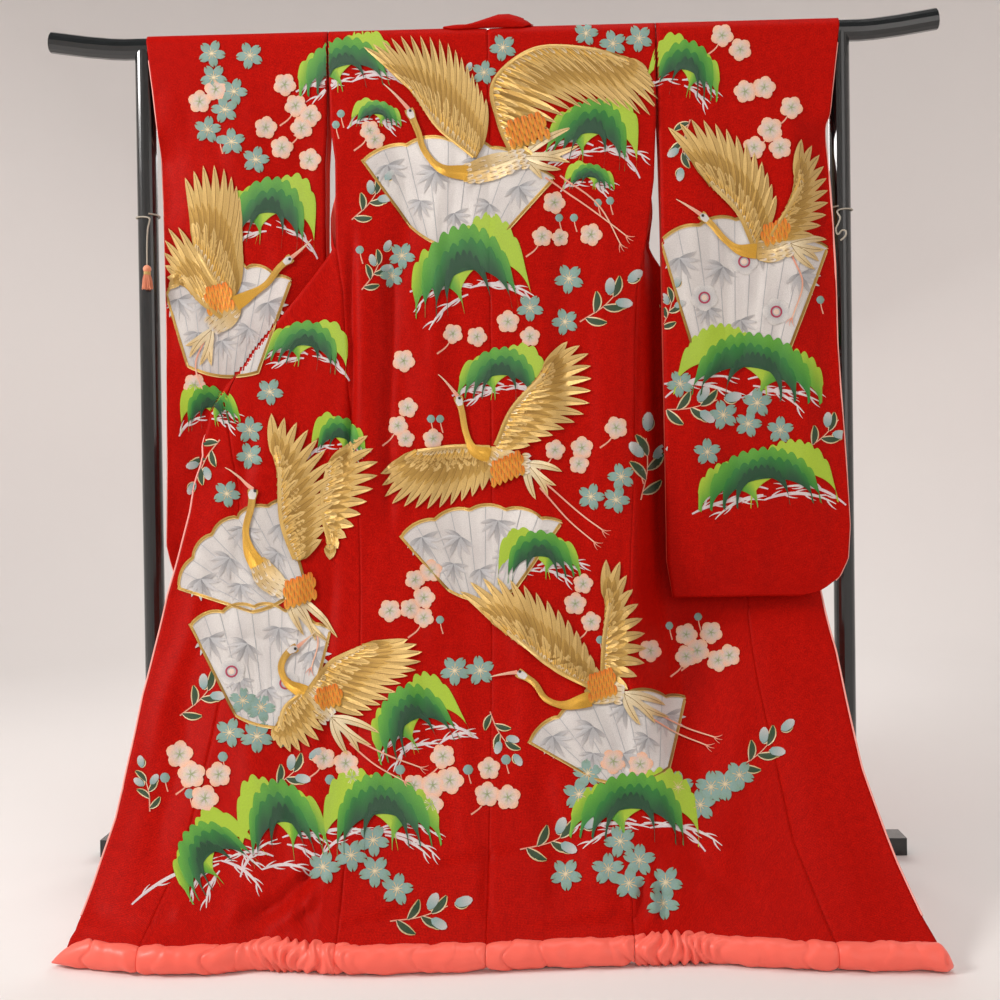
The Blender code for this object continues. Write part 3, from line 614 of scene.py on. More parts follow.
def behindSleeve(x, z):
    edge = 0.05 + 0.50 * (1 - gown["hem"] / 0.5) ** 1.5
    if z > 0.5:
        base = float(np.interp(z, [0.5, 0.75, 1.0, 1.15, gown["barHeight"]],
                               [0.050, 0.030, 0.012, -0.002, 2 * gown["foldRadius"] - gown["overBar"]]))
    else:
        base = 0.05 + 0.50 * (1 - z / 0.5) ** 1.5
    low = min(1.0, max(0.0, (z - gown["hem"]) / 0.05))
    below = ease((0.56 - z) / 0.10)
    return (base + (along(hemLine, x) - gown["behindRoll"] - edge) * hemShare(z) + foldsAt(deepFolds, x, z) * low
            + (creasesAt(x, z) + unevenAt(x, z)) * low * below)


def farSide(z):
    low = hang(gown["sideSeam"]) - 2 * gown["foldRadius"]
    return low + (-gown["overBar"] - low) * ease((z - gown["sideSeam"]) / (1.495 - gown["sideSeam"]))


def spreadFront(side, x, z):
    if side < 0:
        if z > gown["sideSeam"]:
            return farSide(z) + 2 * gown["foldRadius"] + 0 * x
        return nearFace(-x, z)
    xs = along(rightRows, z)
    wide = 0.3085 - xs if z > 0.5 else 0.0685 + (0.5 - z) * 0.25
    share = ease((x - xs) / max(wide, 0.006) + ease((z - 1.06) / 0.14))
    return nearFace(x, z) * (1 - share) + behindSleeve(x, z) * share


def frontRow(side, z, q):  # the front at one height, q metres across from its side edge
    table, radius = sideRows[side], gown["foldRadius"]
    xs, xf = float(along(table, z)), float(along(table, z, 2))
    arc, out = math.pi * radius, xf - xs
    start = -out if z <= gown["sideSeam"] else arc * min(1.0, (z - gown["sideSeam"]) / 0.10)
    turn = max(xf - radius * float(ease((z - gown["collarLine"] + 0.06) / 0.06)), xs + 0.0022)
    p = start + q
    reach = max(min(out, 0.06), 1e-6)
    flatX = xf + p + (turn - xf) * np.maximum(0.0, 1 + p / reach)
    flatD = spreadFront(side, flatX, z)
    foldD = spreadFront(side, turn + 0 * p, z)
    angle = np.clip(p / radius, 0, math.pi)
    backX = turn - (p - arc)
    if side > 0:
        rest = behindSleeve(backX, z)
    else:
        rest = (hang(z) if z < gown["sideSeam"] else farSide(z) + 2 * radius) + 0 * p
    share = ease((turn - backX) / 0.04)
    lump = unevenAt(backX + 0.4, z + 0.2) * 1.6 * share
    backD = foldD * (1 - share) + rest * share - 2 * radius + lump
    x = np.where(p <= 0, flatX, np.where(p < arc, turn + radius * np.sin(angle), backX))
    d = np.where(p <= 0, flatD, np.where(p < arc, foldD - radius * (1 - np.cos(angle)), backD))
    return [(side * a, b, z) for a, b in zip(x, d)]


def spaced(side, z, low, high, n):  # stations across the front, closer together round the turned fold
    table = sideRows[side]
    fold = float(along(table, z, 2) - along(table, z)) + math.pi * gown["foldRadius"] / 2
    q = np.linspace(low, high, 240)
    dense = 1 + 5 * np.exp(-((q - fold) / 0.015) ** 2) * float(ease((z - 0.68) / 0.07)) * (z < 1.26)
    total = np.concatenate([[0], np.cumsum((dense[1:] + dense[:-1]) / 2)])
    return np.interp(np.linspace(0, total[-1], n), total, q)


def panelWidth(side, z, column):
    table = sideRows[side]
    out = float(along(table, z, 2) - along(table, z))
    if column == 2 and z <= gown["collarLine"]:
        return out
    if z >= gown["onBar"] and column == 1:
        return float(along(table, z, 2)) - gown["neck"]
    return float(along(panelWidths, z, column))


def clothSheet(name, rows, node, flip, wall, tight=False):
    n, m = len(rows), len(rows[0])
    flat = np.array(rows, float).reshape(n, m, 3)
    across = np.concatenate([np.zeros((n, 1)), np.cumsum(np.linalg.norm(np.diff(flat, axis=1), axis=2), 1)], 1)
    down = np.concatenate([np.zeros((1, m)), np.cumsum(np.linalg.norm(np.diff(flat, axis=0), axis=2), 0)], 0)
    piece = loose(name, flat.reshape(-1, 3) * (1, -1, 1) + (0, postLine, 0), (), quads(n, m, 0, flip))
    mesh = piece.data
    layMap(mesh, "weave", np.stack([across.ravel(), down.ravel()], 1))
    mesh.shade_smooth()
    mesh.materials.append(brocade)
    mesh.materials.append(lining)
    shell = piece.modifiers.new("wall", "SOLIDIFY")
    shell.thickness, shell.offset, shell.use_even_offset = wall, 0.0, False
    shell.material_offset = 0 if tight else 1
    return sewn(piece, "brocade", node)


def heights(low, high, step=None):
    return list(np.linspace(low, high, max(2, round(abs(high - low) / (step or gown["step"])) + 1)))


overBarTurns = [math.pi * k / 16 for k in range(1, 16)]


def bodySide(side, name, node):
    table, rows = sideRows[side], []
    backCount = 46
    for z in gown["insideRoll"] + heights(gown["hem"], 1.508):
        inner = gown["seamRoom"]
        outer = float(along(table, z)) - (gown["seamRoom"] if z < gown["sideSeam"] + 0.01 else 0.0)
        spread = np.linspace(0, 1, backCount)
        x = inner + (outer - inner) * (0.75 * spread + 0.25 * (0.5 - 0.5 * np.cos(math.pi * spread)))
        d = nearFace(side * x, z)
        rows.append([(side * a, b, z) for a, b in zip(x, d)])
    outer = float(along(table, gown["barHeight"]))
    for z in (1.513, 1.518, 1.5235, gown["barHeight"]):
        rows.append([(side * a, hang(z), z) for a in np.linspace(gown["seamRoom"], outer, backCount)])
    for a in overBarTurns:
        z = gown["barHeight"] + gown["overBar"] * math.sin(a)
        inner = gown["neck"] * float(ease((a - 0.72) / 0.45))
        rows.append([(side * x, gown["overBar"] * math.cos(a), z) for x in np.linspace(inner, outer, backCount)])
    for z in heights(gown["barHeight"], gown["hem"]) + gown["insideRoll"][::-1]:
        start = 0.0 if z > gown["sideSeam"] + 0.05 else 0.0002
        q = spaced(side, z, start, panelWidth(side, z, 1), backCount)[::-1]
        row = frontRow(side, z, q)
        if z > gown["onBar"]:
            row = [(side * (float(along(table, z, 2)) - a), -gown["overBar"], z) for a in q]
        rows.append(row)
    return clothSheet(name, rows, node, side < 0, gown["wall"])


def okumiSide(side, name, node):
    rows = []
    for z in heights(gown["okumiPoint"], gown["hem"]) + gown["insideRoll"][::-1]:
        low = panelWidth(side, z, 1) + (0.0015 if z > 0.72 else -0.0003)
        high = max(panelWidth(side, z, 2), low + 0.012)
        rows.append(frontRow(side, z, spaced(side, z, low, high, 24)))
    return clothSheet(name, rows, node, side > 0, gown["wall"])


def collarBand(name, node):
    parts = []
    for side in (-1, 1):
        part = []
        table = sideRows[side]
        for z in heights(gown["collarTip"], 1.505, 0.010):
            column = 2 if z < gown["okumiPoint"] + 0.001 else 1
            low = max(panelWidth(side, z, column),
                      panelWidth(side, z, 1) + (0.012 if column == 2 else 0.0)) + 0.0022
            q = np.linspace(low, low + 0.05, 7)
            if z > gown["onBar"]:
                part.append([(side * (float(along(table, z, 2)) - a), -gown["overBar"] - 0.0020, z) for a in q])
            else:
                part.append(frontRow(side, z, q))
        for x, d, z, ex, ed, ez in (
                (0.0848, -0.0240, 1.5285, 0.036, -0.0240, 1.5285), (0.0848, -0.0176, 1.5460, 0.036, -0.0176, 1.5465),
                (0.0848, 0.0000, 1.5535, 0.040, -0.0060, 1.5560), (0.0815, 0.0145, 1.5488, 0.046, 0.0030, 1.5605),
                (0.0640, 0.0170, 1.5440, 0.050, 0.0095, 1.5590), (0.0450, 0.0165, 1.5445, 0.038, 0.0125, 1.5620),
                (0.0250, 0.0160, 1.5450, 0.024, 0.0135, 1.5660)):
            lean = (0.004 if side > 0 else -0.006) * float(ease(d / 0.02))
            t = np.linspace(0, 1, 7)
            bulge = 0.0045 * np.sin(math.pi * t) * (d > 0.005)
            part.append([(side * (x + (ex - x) * k) + 0.016 * k * (d > 0.01), d + (ed - d) * k + b,
                          z + (ez - z) * k + lean * k)
                         for k, b in zip(t, bulge)])
        parts.append(part)
    t = np.linspace(0, 1, 7)
    middle = [(0.003 + 0.017 * k, 0.0160 - 0.0030 * k + 0.0045 * math.sin(math.pi * k), 1.5450 + 0.0245 * k)
              for k in t]
    return clothSheet(name, parts[0] + [middle] + parts[1][::-1], node, False, gown["collarWall"], True)


def sleeveRow(side, x, z, layer):
    edge = float(along(sleeveEdge[side], z))
    middle, room = float(along(sleeveDepth[side], z)), float(along(sleeveDepth[side], z, 2))
    shut = float(ease((gown["wrist"] + 0.03 - z) / 0.07))
    room = 0.0014 + (room - 0.0014) * (1 - shut * (1 - ease((edge - x) / 0.07)))
    if side < 0:
        middle = middle + 0.004 * np.sin((x - 0.3) * 22) * float(ease((1.35 - z) / 0.3))
    else:
        middle = middle + 0.003 * np.sin((x - 0.3) * 20) * float(ease((1.20 - z) / 0.3))
    calm = float(ease((1.50 - z) / 0.12)) * float(ease((z - 0.487) / 0.03))
    d = middle + layer * room + (unevenAt(x * 1.3 + side, z * 0.9) * 1.1 + foldsAt(sleeveFolds[side], x, z)) * calm
    return [(side * a, b, z) for a, b in zip(x, d)]


# across from the middle and height of both ends, half width, rise
sleeveFolds = {-1: [(0.34, 1.40, 0.36, 0.80, 0.022, -0.0022), (0.47, 1.46, 0.45, 0.70, 0.034, 0.0030),
                    (0.56, 1.42, 0.57, 0.60, 0.026, -0.0028), (0.40, 1.20, 0.43, 0.60, 0.020, 0.0020)],
               1: [(0.36, 1.46, 0.37, 0.62, 0.026, 0.0026), (0.45, 1.42, 0.44, 0.58, 0.030, -0.0026),
                   (0.55, 1.44, 0.56, 0.60, 0.030, 0.0030), (0.60, 1.30, 0.61, 0.62, 0.020, -0.0020),
                   (0.50, 1.00, 0.47, 0.52, 0.018, 0.0016)]}


def sleeveTube(side, name, node):
    rows = []
    t = 1 - (1 - np.linspace(0, 1, 48)) ** 1.25
    zs = [0.487, 0.492, 0.497, 0.504, 0.512, 0.521, 0.531] + heights(0.540, gown["barHeight"])
    for layer in (1, -1):
        part = []
        for z in zs:
            a, b = float(along(sleeveInner[side], z)), float(along(sleeveEdge[side], z))
            part.append(sleeveRow(side, a + (b - a) * t, z, layer))
        rows += part if layer == 1 else part[::-1]
        if layer == 1:
            for a in overBarTurns:
                z = gown["barHeight"] + gown["overBar"] * math.sin(a)
                i, o = float(along(sleeveInner[side], z)), float(along(sleeveEdge[side], z))
                rows.append([(side * (i + (o - i) * k), gown["overBar"] * math.cos(a), z) for k in t])
    return clothSheet(name, rows, node, side < 0, gown["wall"])


bodyLeft = bodySide(-1, "bodyLeft", "body_left")
bodyRight = bodySide(1, "bodyRight", "body_right")
okumiLeft = okumiSide(-1, "okumiLeft", "okumi_left")
okumiRight = okumiSide(1, "okumiRight", "okumi_right")
sleeveLeft = sleeveTube(-1, "sleeveLeft", "sleeve_left")
sleeveRight = sleeveTube(1, "sleeveRight", "sleeve_right")
collar = collarBand("collarBand", "collar")
print("cloth hung")


# Embroidery is drawn flat, in the photograph's pixels, then laid on the cloth
silks = dict(gold=(0.52, 0.31, 0.070), paleGold=(0.66, 0.45, 0.17), darkGold=(0.26, 0.135, 0.022),
             amber=(0.66, 0.35, 0.035), orange=(0.78, 0.17, 0.008), rust=(0.42, 0.085, 0.006),
             cream=(0.78, 0.66, 0.44), white=(0.74, 0.70, 0.66), pearl=(0.60, 0.56, 0.54), blush=(0.80, 0.60, 0.48),
             grey=(0.26, 0.26, 0.27), silver=(0.44, 0.44, 0.45), peach=(0.88, 0.46, 0.27), apricot=(0.90, 0.55, 0.37),
             sage=(0.21, 0.33, 0.24), mist=(0.24, 0.38, 0.37), olive=(0.27, 0.34, 0.16), lime=(0.40, 0.58, 0.025),
             leaf=(0.10, 0.36, 0.02), green=(0.012, 0.19, 0.02), pine=(0.0015, 0.060, 0.016),
             lilac=(0.70, 0.58, 0.60),
             pink=(0.80, 0.33, 0.22), plum=(0.42, 0.035, 0.085), black=(0.012, 0.010, 0.010),
             moss=(0.035, 0.060, 0.022))


class Needlework:  # strips of stitches, in pixels, with their rise above the cloth in millimetres
    def __init__(self):
        self.points, self.faces, self.colours, self.rises, self.shines, self.stitches = [], [], [], [], [], []

    def grid(self, spots, rise, colour, shine, stitch):
        n, m = spots.shape[:2]
        base = len(self.points)
        self.points += [(a, b, 0.0) for a, b in spots.reshape(-1, 2)]
        self.rises += list(np.broadcast_to(rise, (n, m)).ravel())
        self.colours += [tuple(c) for c in np.broadcast_to(colour, (n, m, 3)).reshape(-1, 3)]
        self.shines += [shine] * (n * m)
        self.stitches += [tuple(s) for s in stitch.reshape(-1, 2)]
        a, b = spots[1, 0] - spots[0, 0], spots[0, 1] - spots[0, 0]
        flip = sum(np.cross(spots[k + 1, 0] - spots[k, 0], spots[k, -1] - spots[k, 0]) for k in range(n - 1)) > 0
        self.faces += quads(n, m, base, not flip)

    def strip(self, way, half, first, last=None, base=0.3, rise=0.6, across=4, shine=0.0, notch=0.0, tilt=0.5):
        way, half = np.asarray(way, float), np.asarray(half, float)
        n = len(way)
        run = np.gradient(way, axis=0)
        run /= np.maximum(np.linalg.norm(run, axis=1, keepdims=True), 1e-9)
        side = np.stack([-run[:, 1], run[:, 0]], 1)
        t, s = np.linspace(-1, 1, across + 1), np.linspace(0, 1, n)
        spots = way[:, None] + side[:, None] * (half[:, None] * t)[:, :, None]
        spots -= run[:, None] * (notch * (1 - np.abs(t)) ** 2 * s[:, None] ** 6)[:, :, None]
        dome = np.sqrt(1 - 0.92 * t ** 2) * np.minimum(1, 0.35 + 5 * np.minimum(s, 1 - s))[:, None]
        mixed = s[:, None, None] ** 1.3 * 0.999
        colour = np.array(silks[first]) * (1 - mixed) + np.array(silks[last or first]) * mixed
        length = np.concatenate([[0], np.cumsum(np.linalg.norm(np.diff(way, axis=0), axis=1))])
        wide = half[:, None] * t
        stitch = np.stack([length[:, None] + tilt * np.abs(wide), wide], 2)
        self.grid(spots, base + rise * dome, colour, shine, stitch)


def bow(a, b, sag=0.0, n=8):  # a bowed line from a to b, sagging to its right by a share of its length
    a, b = np.array(a, float), np.array(b, float)
    s = np.linspace(0, 1, n)[:, None]
    side = np.array([-(b - a)[1], (b - a)[0]])
    return a + (b - a) * s + side * sag * 4 * s * (1 - s)


def smooth(points, each):  # a smooth line through a few points, and how far along it each place lies
    p = np.array(points, float)
    p = np.vstack([2 * p[0] - p[1], p, 2 * p[-1] - p[-2]])
    line = []
    for a, b, c, e in zip(p, p[1:], p[2:], p[3:]):
        for t in np.linspace(0, 1, each, endpoint=False):
            square, cube = 2 * a - 5 * b + 4 * c - e, 3 * b - a - 3 * c + e
            line.append(0.5 * (2 * b + (c - a) * t + square * t * t + cube * t ** 3))
    line = np.array(line + [p[-2]])
    return line, np.concatenate([[0], np.cumsum(np.linalg.norm(np.diff(line, axis=0), axis=1))])


def evenly(line, gone, n):  # n places spread evenly along a line
    at = np.linspace(0, gone[-1], n)
    return np.stack([np.interp(at, gone, column) for column in line.T], 1)


def through(points, n):
    return evenly(*smooth(points, 12), n)


def steps(way):  # how many stations a line needs, no more than 3.6 pixels apart
    return max(5, int(np.linalg.norm(np.diff(np.asarray(way, float), axis=0), axis=1).sum() / 3.6))


def feather(work, root, tip, wide, sag, first, last, base, shine=1.0, point=3.0):
    n = steps([root, tip])
    s = np.linspace(0, 1, n)
    half = wide * (0.55 + 0.45 * ease(s / 0.3)) * (1 - s ** point) ** 0.8
    half[-1] = 0.05
    work.strip(bow(root, tip, sag, n), half, first, last, base, 0.45, 4, shine)
    quill = bow(root, tip, sag, n)[:-1]
    work.strip(quill, np.full(len(quill), 0.28), "darkGold", None, base + 0.38, 0.2, 2, 0.6)


def wing(work, arm, tips, count, wide, base, sag=0.0, tones=("gold", "paleGold")):
    roots, ends = through(arm, count), through(tips, count)
    for k in range(count - 1, -1, -1):
        lift = base + 0.05 * (count - k) / count + 0.18 * (k % 2)
        feather(work, roots[k], ends[k], wide, sag, *tones, lift)
    for share, number, tone, size in ((0.62, 1.15, ("darkGold", "gold"), 0.80),
                                      (0.42, 1.3, ("gold", "paleGold"), 0.66),
                                      (0.25, 1.6, ("amber", "paleGold"), 0.52), (0.12, 1.8, ("gold", "cream"), 0.40)):
        many = int(count * number)
        r, e = through(arm, many), through(tips, many)
        for k in range(many - 1, -1, -1):
            tip = r[k] + (e[k] - r[k]) * share
            feather(work, r[k], tip, wide * size, sag, *tone, base + 0.35 + 0.5 * (1 - share) + 0.12 * (k % 2),
                    point=4.0)
    edge = through(arm, steps(arm))
    work.strip(edge, np.full(len(edge), wide * 0.34), "gold", "paleGold", base + 1.1, 0.6, 4, 1.0)


def plume(work, root, tips, wide, tones, base, sag=0.06):
    for k, tip in enumerate(tips):
        feather(work, root, tip, wide, sag * (1 if k % 2 else -1), *tones, base + 0.14 * (k % 3), 0.6)


def scales(work, across, down, rows, count, wide, long, tones, base):  # rows of small lapped feathers
    a, b = (np.array(p, float) for p in across)
    down = np.array(down, float)
    for r in range(rows - 1, -1, -1):
        for k in range(count + r % 2):
            root = a + (b - a) * (k + 0.5 - 0.5 * (r % 2)) / count + down * r * long * 0.55
            feather(work, root, root + down * long, wide, 0.0, *tones, base + 0.10 * (rows - r), 0.7, 5.0)


def crane(work, neck, bill, body, wings, tails, patch, legs=None, base=1.0):
    if legs:
        for hip, knee, foot in legs:
            line = through([hip, knee, foot], steps([hip, knee, foot]) + 4)
            work.strip(line, np.linspace(0.9, 0.6, len(line)), "pink", "apricot", base - 0.3, 0.4, 2)
            out = (line[-1] - line[-5]) / np.linalg.norm(line[-1] - line[-5])
            for turn in (-0.55, 0.0, 0.5):
                c, s = math.cos(turn), math.sin(turn)
                toe = line[-1] + 9 * np.array([c * out[0] - s * out[1], s * out[0] + c * out[1]])
                work.strip(bow(line[-1], toe, 0.08, 5), np.linspace(0.6, 0.15, 5), "pink", None, base - 0.3, 0.4, 2)
    plume(work, body[-1], tails, 4.2, ("cream", "paleGold"), base)
    for arm, tips, count, wide, sag in wings[:1]:
        wing(work, arm, tips, count, wide, base + 0.1, sag)
    line = through(body, steps(body))
    s = np.linspace(0, 1, len(line))
    work.strip(line, 13 * np.sin(math.pi * (0.12 + 0.80 * s)) ** 0.7, "gold", "cream", base + 0.7, 1.2, 8, 0.8)
    for k in range(1, len(line) - 1, 2):
        turn = line[min(k + 1, len(line) - 1)] - line[k - 1]
        turn = turn / np.linalg.norm(turn)
        side = np.array([-turn[1], turn[0]])
        for q in (-8, -3, 3, 8):
            root = line[k] + side * (q + (k % 4) - 1)
            feather(work, root, root + turn * 9, 2.6, 0.0, "paleGold", "white", base + 1.6 - abs(q) * 0.05, 0.5, 5.0)
    for arm, tips, count, wide, sag in wings[1:]:
        wing(work, arm, tips, count, wide, base + 1.2, sag)
    for across, down, rows, count, long in patch:
        scales(work, across, down, rows, count, 3.0, long, ("orange", "amber"), base + 2.1)
    line = through(neck, steps(neck) + 4)
    s = np.linspace(0, 1, len(line))
    half = 3.1 + 4.5 * (1 - ease(s / 0.45)) + 1.6 * np.exp(-((s - 0.97) / 0.06) ** 2)
    work.strip(line, half, "amber", "gold", base + 1.5, 1.0, 6, 1.0)
    work.strip(line[-4:], np.array([2.2, 3.4, 3.4, 1.4]), "white", "pearl", base + 2.3, 0.6, 4)
    head = line[-1]
    work.strip(bow(head, bill, 0.02, 7), np.linspace(2.0, 0.3, 7), "pink", "cream", base + 1.9, 0.6, 3)
    back = (head - np.array(bill)) / np.linalg.norm(head - np.array(bill))
    at = head + back * 2.5
    work.strip(bow(at - back * 1.5, at + back * 1.5, 0, 5), np.array([0.3, 1.2, 1.5, 1.2, 0.3]), "black", None,
               base + 3.0, 0.4, 3)


def bambooSpray(work, at, size, turn, base):  # a ring of narrow leaves, darker where they meet
    for k in range(7):
        aim = math.pi / 2 + turn + 2.9 * (k - 3) / 6
        reach = size * (1.15 - 0.10 * abs(k - 3))
        tip = (at[0] + reach * math.cos(aim), at[1] + reach * math.sin(aim))
        q = np.linspace(0, 1, 7)
        work.strip(bow(at, tip, 0.05, 7), size * 0.11 * np.sin(math.pi * (0.05 + 0.93 * q)) ** 0.8,
                   "grey" if k % 3 == 0 else "silver", "pearl", base + 0.06 * (k % 2), 0.35, 3, 0.4)


def fan(work, left, right, innerRight, innerLeft, rise, fall, blossoms=(), base=0.45):
    n, m = steps([left, right]) + 12, 26
    outer, inner = bow(left, right, -rise, n), bow(innerLeft, innerRight, fall, n)
    v = np.linspace(0, 1, m)[None, :, None]
    u = np.linspace(0, 1, n)
    fold = np.abs(((u * 9) % 1) * 2 - 1)
    wave = (np.abs(np.sin(u * math.pi * 4.5)) ** 0.6 - 0.5) * 5.0
    way = (outer - inner) / np.linalg.norm(outer - inner, axis=1, keepdims=True)
    outer = outer + way * wave[:, None]
    spots = outer[:, None] * (1 - v) + inner[:, None] * v
    # painted pleat shade: the paper's white turns greyer towards each pleat line along with the fold, plus a random
    # mottle
    pleatShadeAndMottle = np.clip(0.30 + 0.30 * fold[:, None, None]
                   + 0.35 * np.sin(u * 13 + 1)[:, None, None] * np.sin(v * 7 + u[:, None, None] * 9), 0, 1)
    colour = np.array(silks["white"]) * (1 - pleatShadeAndMottle) + np.array(silks["pearl"]) * pleatShadeAndMottle
    length = np.linalg.norm(outer - inner, axis=1)[:, None]
    stitch = np.stack([np.broadcast_to(u[:, None] * 150, (n, m)), v[..., 0] * length], 2)
    work.grid(spots, base + 0.7 * fold[:, None] * np.ones((1, m)), colour, 0.30, stitch)
    for k in range(1, 9):  # the fan's sticks, as fine grey lines
        i = int((n - 1) * k / 9)
        line = through([spots[i, 0], spots[i, -1]], steps([spots[i, 0], spots[i, -1]]))
        work.strip(line, np.full(len(line), 0.35), "silver", None, base + 0.75, 0.25, 2, 0.4)
    for line in (outer, inner, np.array([left, innerLeft]), np.array([right, innerRight])):
        line = line if len(line) > 2 else through([line[0], line[1]], steps(line))
        work.strip(line, np.full(len(line), 1.35), "gold", "darkGold", base + 0.9, 0.8, 3, 1.0)
        work.strip(line + (0.9, 1.6), np.full(len(line), 0.5), "paleGold", None, base + 1.1, 0.4, 2, 1.0)
    for k in range(7):
        i, j = int((n - 1) * (0.08 + 0.14 * k)), (7, 17, 10, 19, 6, 16, 9)[k]
        at = spots[i, j]
        if min([np.linalg.norm(at - np.array(q)) for q in blossoms] or [99]) > 17:
            bambooSpray(work, at - (0, 8), 21 - 4 * (k % 2), 0.5 * (k % 3 - 1), base + 0.85)
    for x, y in blossoms:
        for k in range(5):
            petal(work, (x, y), 2 * math.pi * k / 5 + x, 13.5, 7.2, "silver", "white", base + 0.9 + 0.1 * (k % 2))
        ring = [(x + 5.2 * math.cos(a), y + 5.2 * math.sin(a)) for a in np.linspace(0, 2 * math.pi, 19)]
        work.strip(ring, np.full(19, 0.9), "plum", None, base + 1.7, 0.4, 2)
        work.strip(bow((x - 3, y), (x + 3, y), 0, 7), 3 * np.sqrt(1 - np.linspace(-0.96, 0.96, 7) ** 2), "blush",
                   None, base + 1.6, 0.5, 4)


def petal(work, at, turn, long, wide, first, last, base, notch=0.0, near=0.0):
    way = np.array([math.cos(turn), math.sin(turn)])
    a = np.array(at) + way * near
    s = np.linspace(0, 1, 7)
    half = wide * np.sqrt(np.maximum(0.0, 1 - ((s - 0.58) / 0.60) ** 2 * np.where(s < 0.58, 0.80, 2.0)))
    half[0], half[-1] = 0.4, max(half[-1], wide * 0.28)
    work.strip(bow(a, a + way * (long - near), 0, 7), half, first, last, base, 0.55, 6, 0.0, notch, 0.2)


def plumBlossom(work, at=(0, 0), size=9.0, turn=0.3, tones=("pearl", "peach"), base=1.2):
    for k in range(5):
        a = turn + 2 * math.pi * k / 5
        petal(work, at, a, size, size * 0.47, *tones, base + 0.10 * (k % 2))
    for k in range(10):
        a = turn + 2 * math.pi * (k + 0.5 * (k % 2)) / 10
        tip = (at[0] + size * 0.55 * math.cos(a), at[1] + size * 0.55 * math.sin(a))
        work.strip(bow(at, tip, 0, 3), np.array([0.25, 0.22, 0.3]), "olive", "cream", base + 0.85, 0.2, 2)


def cherryBlossom(work, at=(0, 0), size=10.0, turn=0.2, tones=("mist", "sage"), base=1.2):
    for k in range(5):
        a = turn + 2 * math.pi * k / 5
        petal(work, at, a, size * 1.08, size * 0.35, *tones, base + 0.08 * (k % 2), 2.6)
    for k in range(10):
        a = turn + 2 * math.pi * k / 10
        reach = size * (0.50 if k % 2 else 0.34)
        tip = (at[0] + reach * math.cos(a), at[1] + reach * math.sin(a))
        work.strip(bow(at, tip, 0, 3), np.array([0.3, 0.22, 0.3]), "cream", "paleGold", base + 0.8, 0.25, 2, 0.6)


def branchStroke(work, a, b, sag, wide, whiskers, base=0.25):  # a tapered pine branch with fine side strokes
    line = bow(a, b, sag, steps([a, b]) + 3)
    q = np.linspace(0, 1, len(line))
    work.strip(line, 0.25 + wide * np.sin(math.pi * (0.15 + 0.80 * q)) ** 1.2, "lilac", "white", base, 0.5, 3)
    for k in range(whiskers):
        j = int((len(line) - 3) * (k + 0.8) / whiskers)
        run = (line[j + 1] - line[j]) / np.linalg.norm(line[j + 1] - line[j])
        side = 0.42 if k % 2 else -0.28
        tip = line[j] + 13 * (run + side * np.array([-run[1], run[0]]))
        work.strip(bow(line[j], tip, 0.08 * (1 if k % 2 else -1), 6), np.array([0.6, 0.85, 0.8, 0.6, 0.35, 0.08]),
                   "lilac", "white", base + 0.1, 0.3, 2)


def cloudLayer(work, spot, a, b, low, high, lobes, tones, base, w):
    n, m = max(30, lobes * 8), 9
    s = np.linspace(0, 1, n)
    arch = np.sqrt(np.maximum(0, 1 - (2 * s - 1) ** 2))
    scallop = np.abs(np.sin(math.pi * lobes * s)) ** 0.8
    plain = high * arch ** 0.75 - 0.16 * (1 - arch) + 0.02
    under = low * arch ** 0.9 - 0.20 * (1 - arch)
    top = plain + 0.10 * scallop
    v = np.linspace(0, 1, m)[None, :]
    up = under[:, None] + (top - under)[:, None] * v
    across = (a + (b - a) * s)[:, None] * (1 + 0.05 * v * (2 * s[:, None] - 1)) + 0 * v
    x, y = spot(across, up)
    dome = (np.sqrt(np.maximum(0.05, 1 - np.abs(2 * v - 1) ** 3))
            * np.minimum(1, 8 * np.minimum(s, 1 - s) + 0.2)[:, None])
    depth = np.clip((up - under[:, None]) / np.maximum(plain - under + 0.05, 0.05)[:, None], 0, 1)
    share = np.clip(depth ** 1.3 + 0.12 * np.sin(s * 23)[:, None], 0, 1)[:, :, None]
    colour = np.array(silks[tones[0]]) * (1 - share) + np.array(silks[tones[1]]) * share
    stitch = np.stack([np.broadcast_to(s[:, None] * w, (n, m)) + up * 9, up * 40], 2)
    work.grid(np.stack([x, y], 2), base + 0.7 * dome, colour, 0.0, stitch)


def pineCloud(work, cx, cy, w, h, tilt=0.0, seed=0, base=1.4):
    c, s = math.cos(math.radians(tilt)), math.sin(math.radians(tilt))
    side = 1 if seed % 2 else -1

    def spot(u, v):  # u from -1 to 1 across, v up from the underside, in shares of the size
        x, y = side * u * w / 2, (0.55 - v) * h
        return cx + c * x - s * y, cy + s * x + c * y

    for a, b, sag, whiskers in (((-1.15, -0.26), (-0.10, 0.16), -0.14, 4), ((0.02, 0.17), (1.10, -0.10), -0.16, 5),
                                ((0.10, 0.06), (0.86, -0.36), -0.10, 4)):
        a, b = spot(*a), spot(*b)
        branchStroke(work, a, b, sag * side, 1.25, whiskers)
    lobes = max(5, round(w / 12))
    cloudLayer(work, spot, -1.04, 0.30, 0.46, 1.02, lobes - 2, ("lime", "lime"), base, w)
    cloudLayer(work, spot, 0.20, 1.06, 0.22, 0.66, max(3, lobes - 4), ("leaf", "lime"), base, w)
    cloudLayer(work, spot, -0.78, 0.90, 0.42, 0.90, lobes, ("green", "leaf"), base + 0.5, w)
    cloudLayer(work, spot, -0.66, 0.70, 0.38, 0.72, lobes - 1, ("pine", "green"), base + 0.9, w)
    cloudLayer(work, spot, -0.30, 0.50, 0.42, 0.56, lobes - 2, ("pine", "pine"), base + 1.3, w)


def twig(work, points, wide=0.9, tone="pink", base=0.25):
    line = through(points, steps(points) + 2)
    work.strip(line, np.linspace(wide, wide * 0.5, len(line)), tone, "apricot", base, 0.4, 2)
    return line


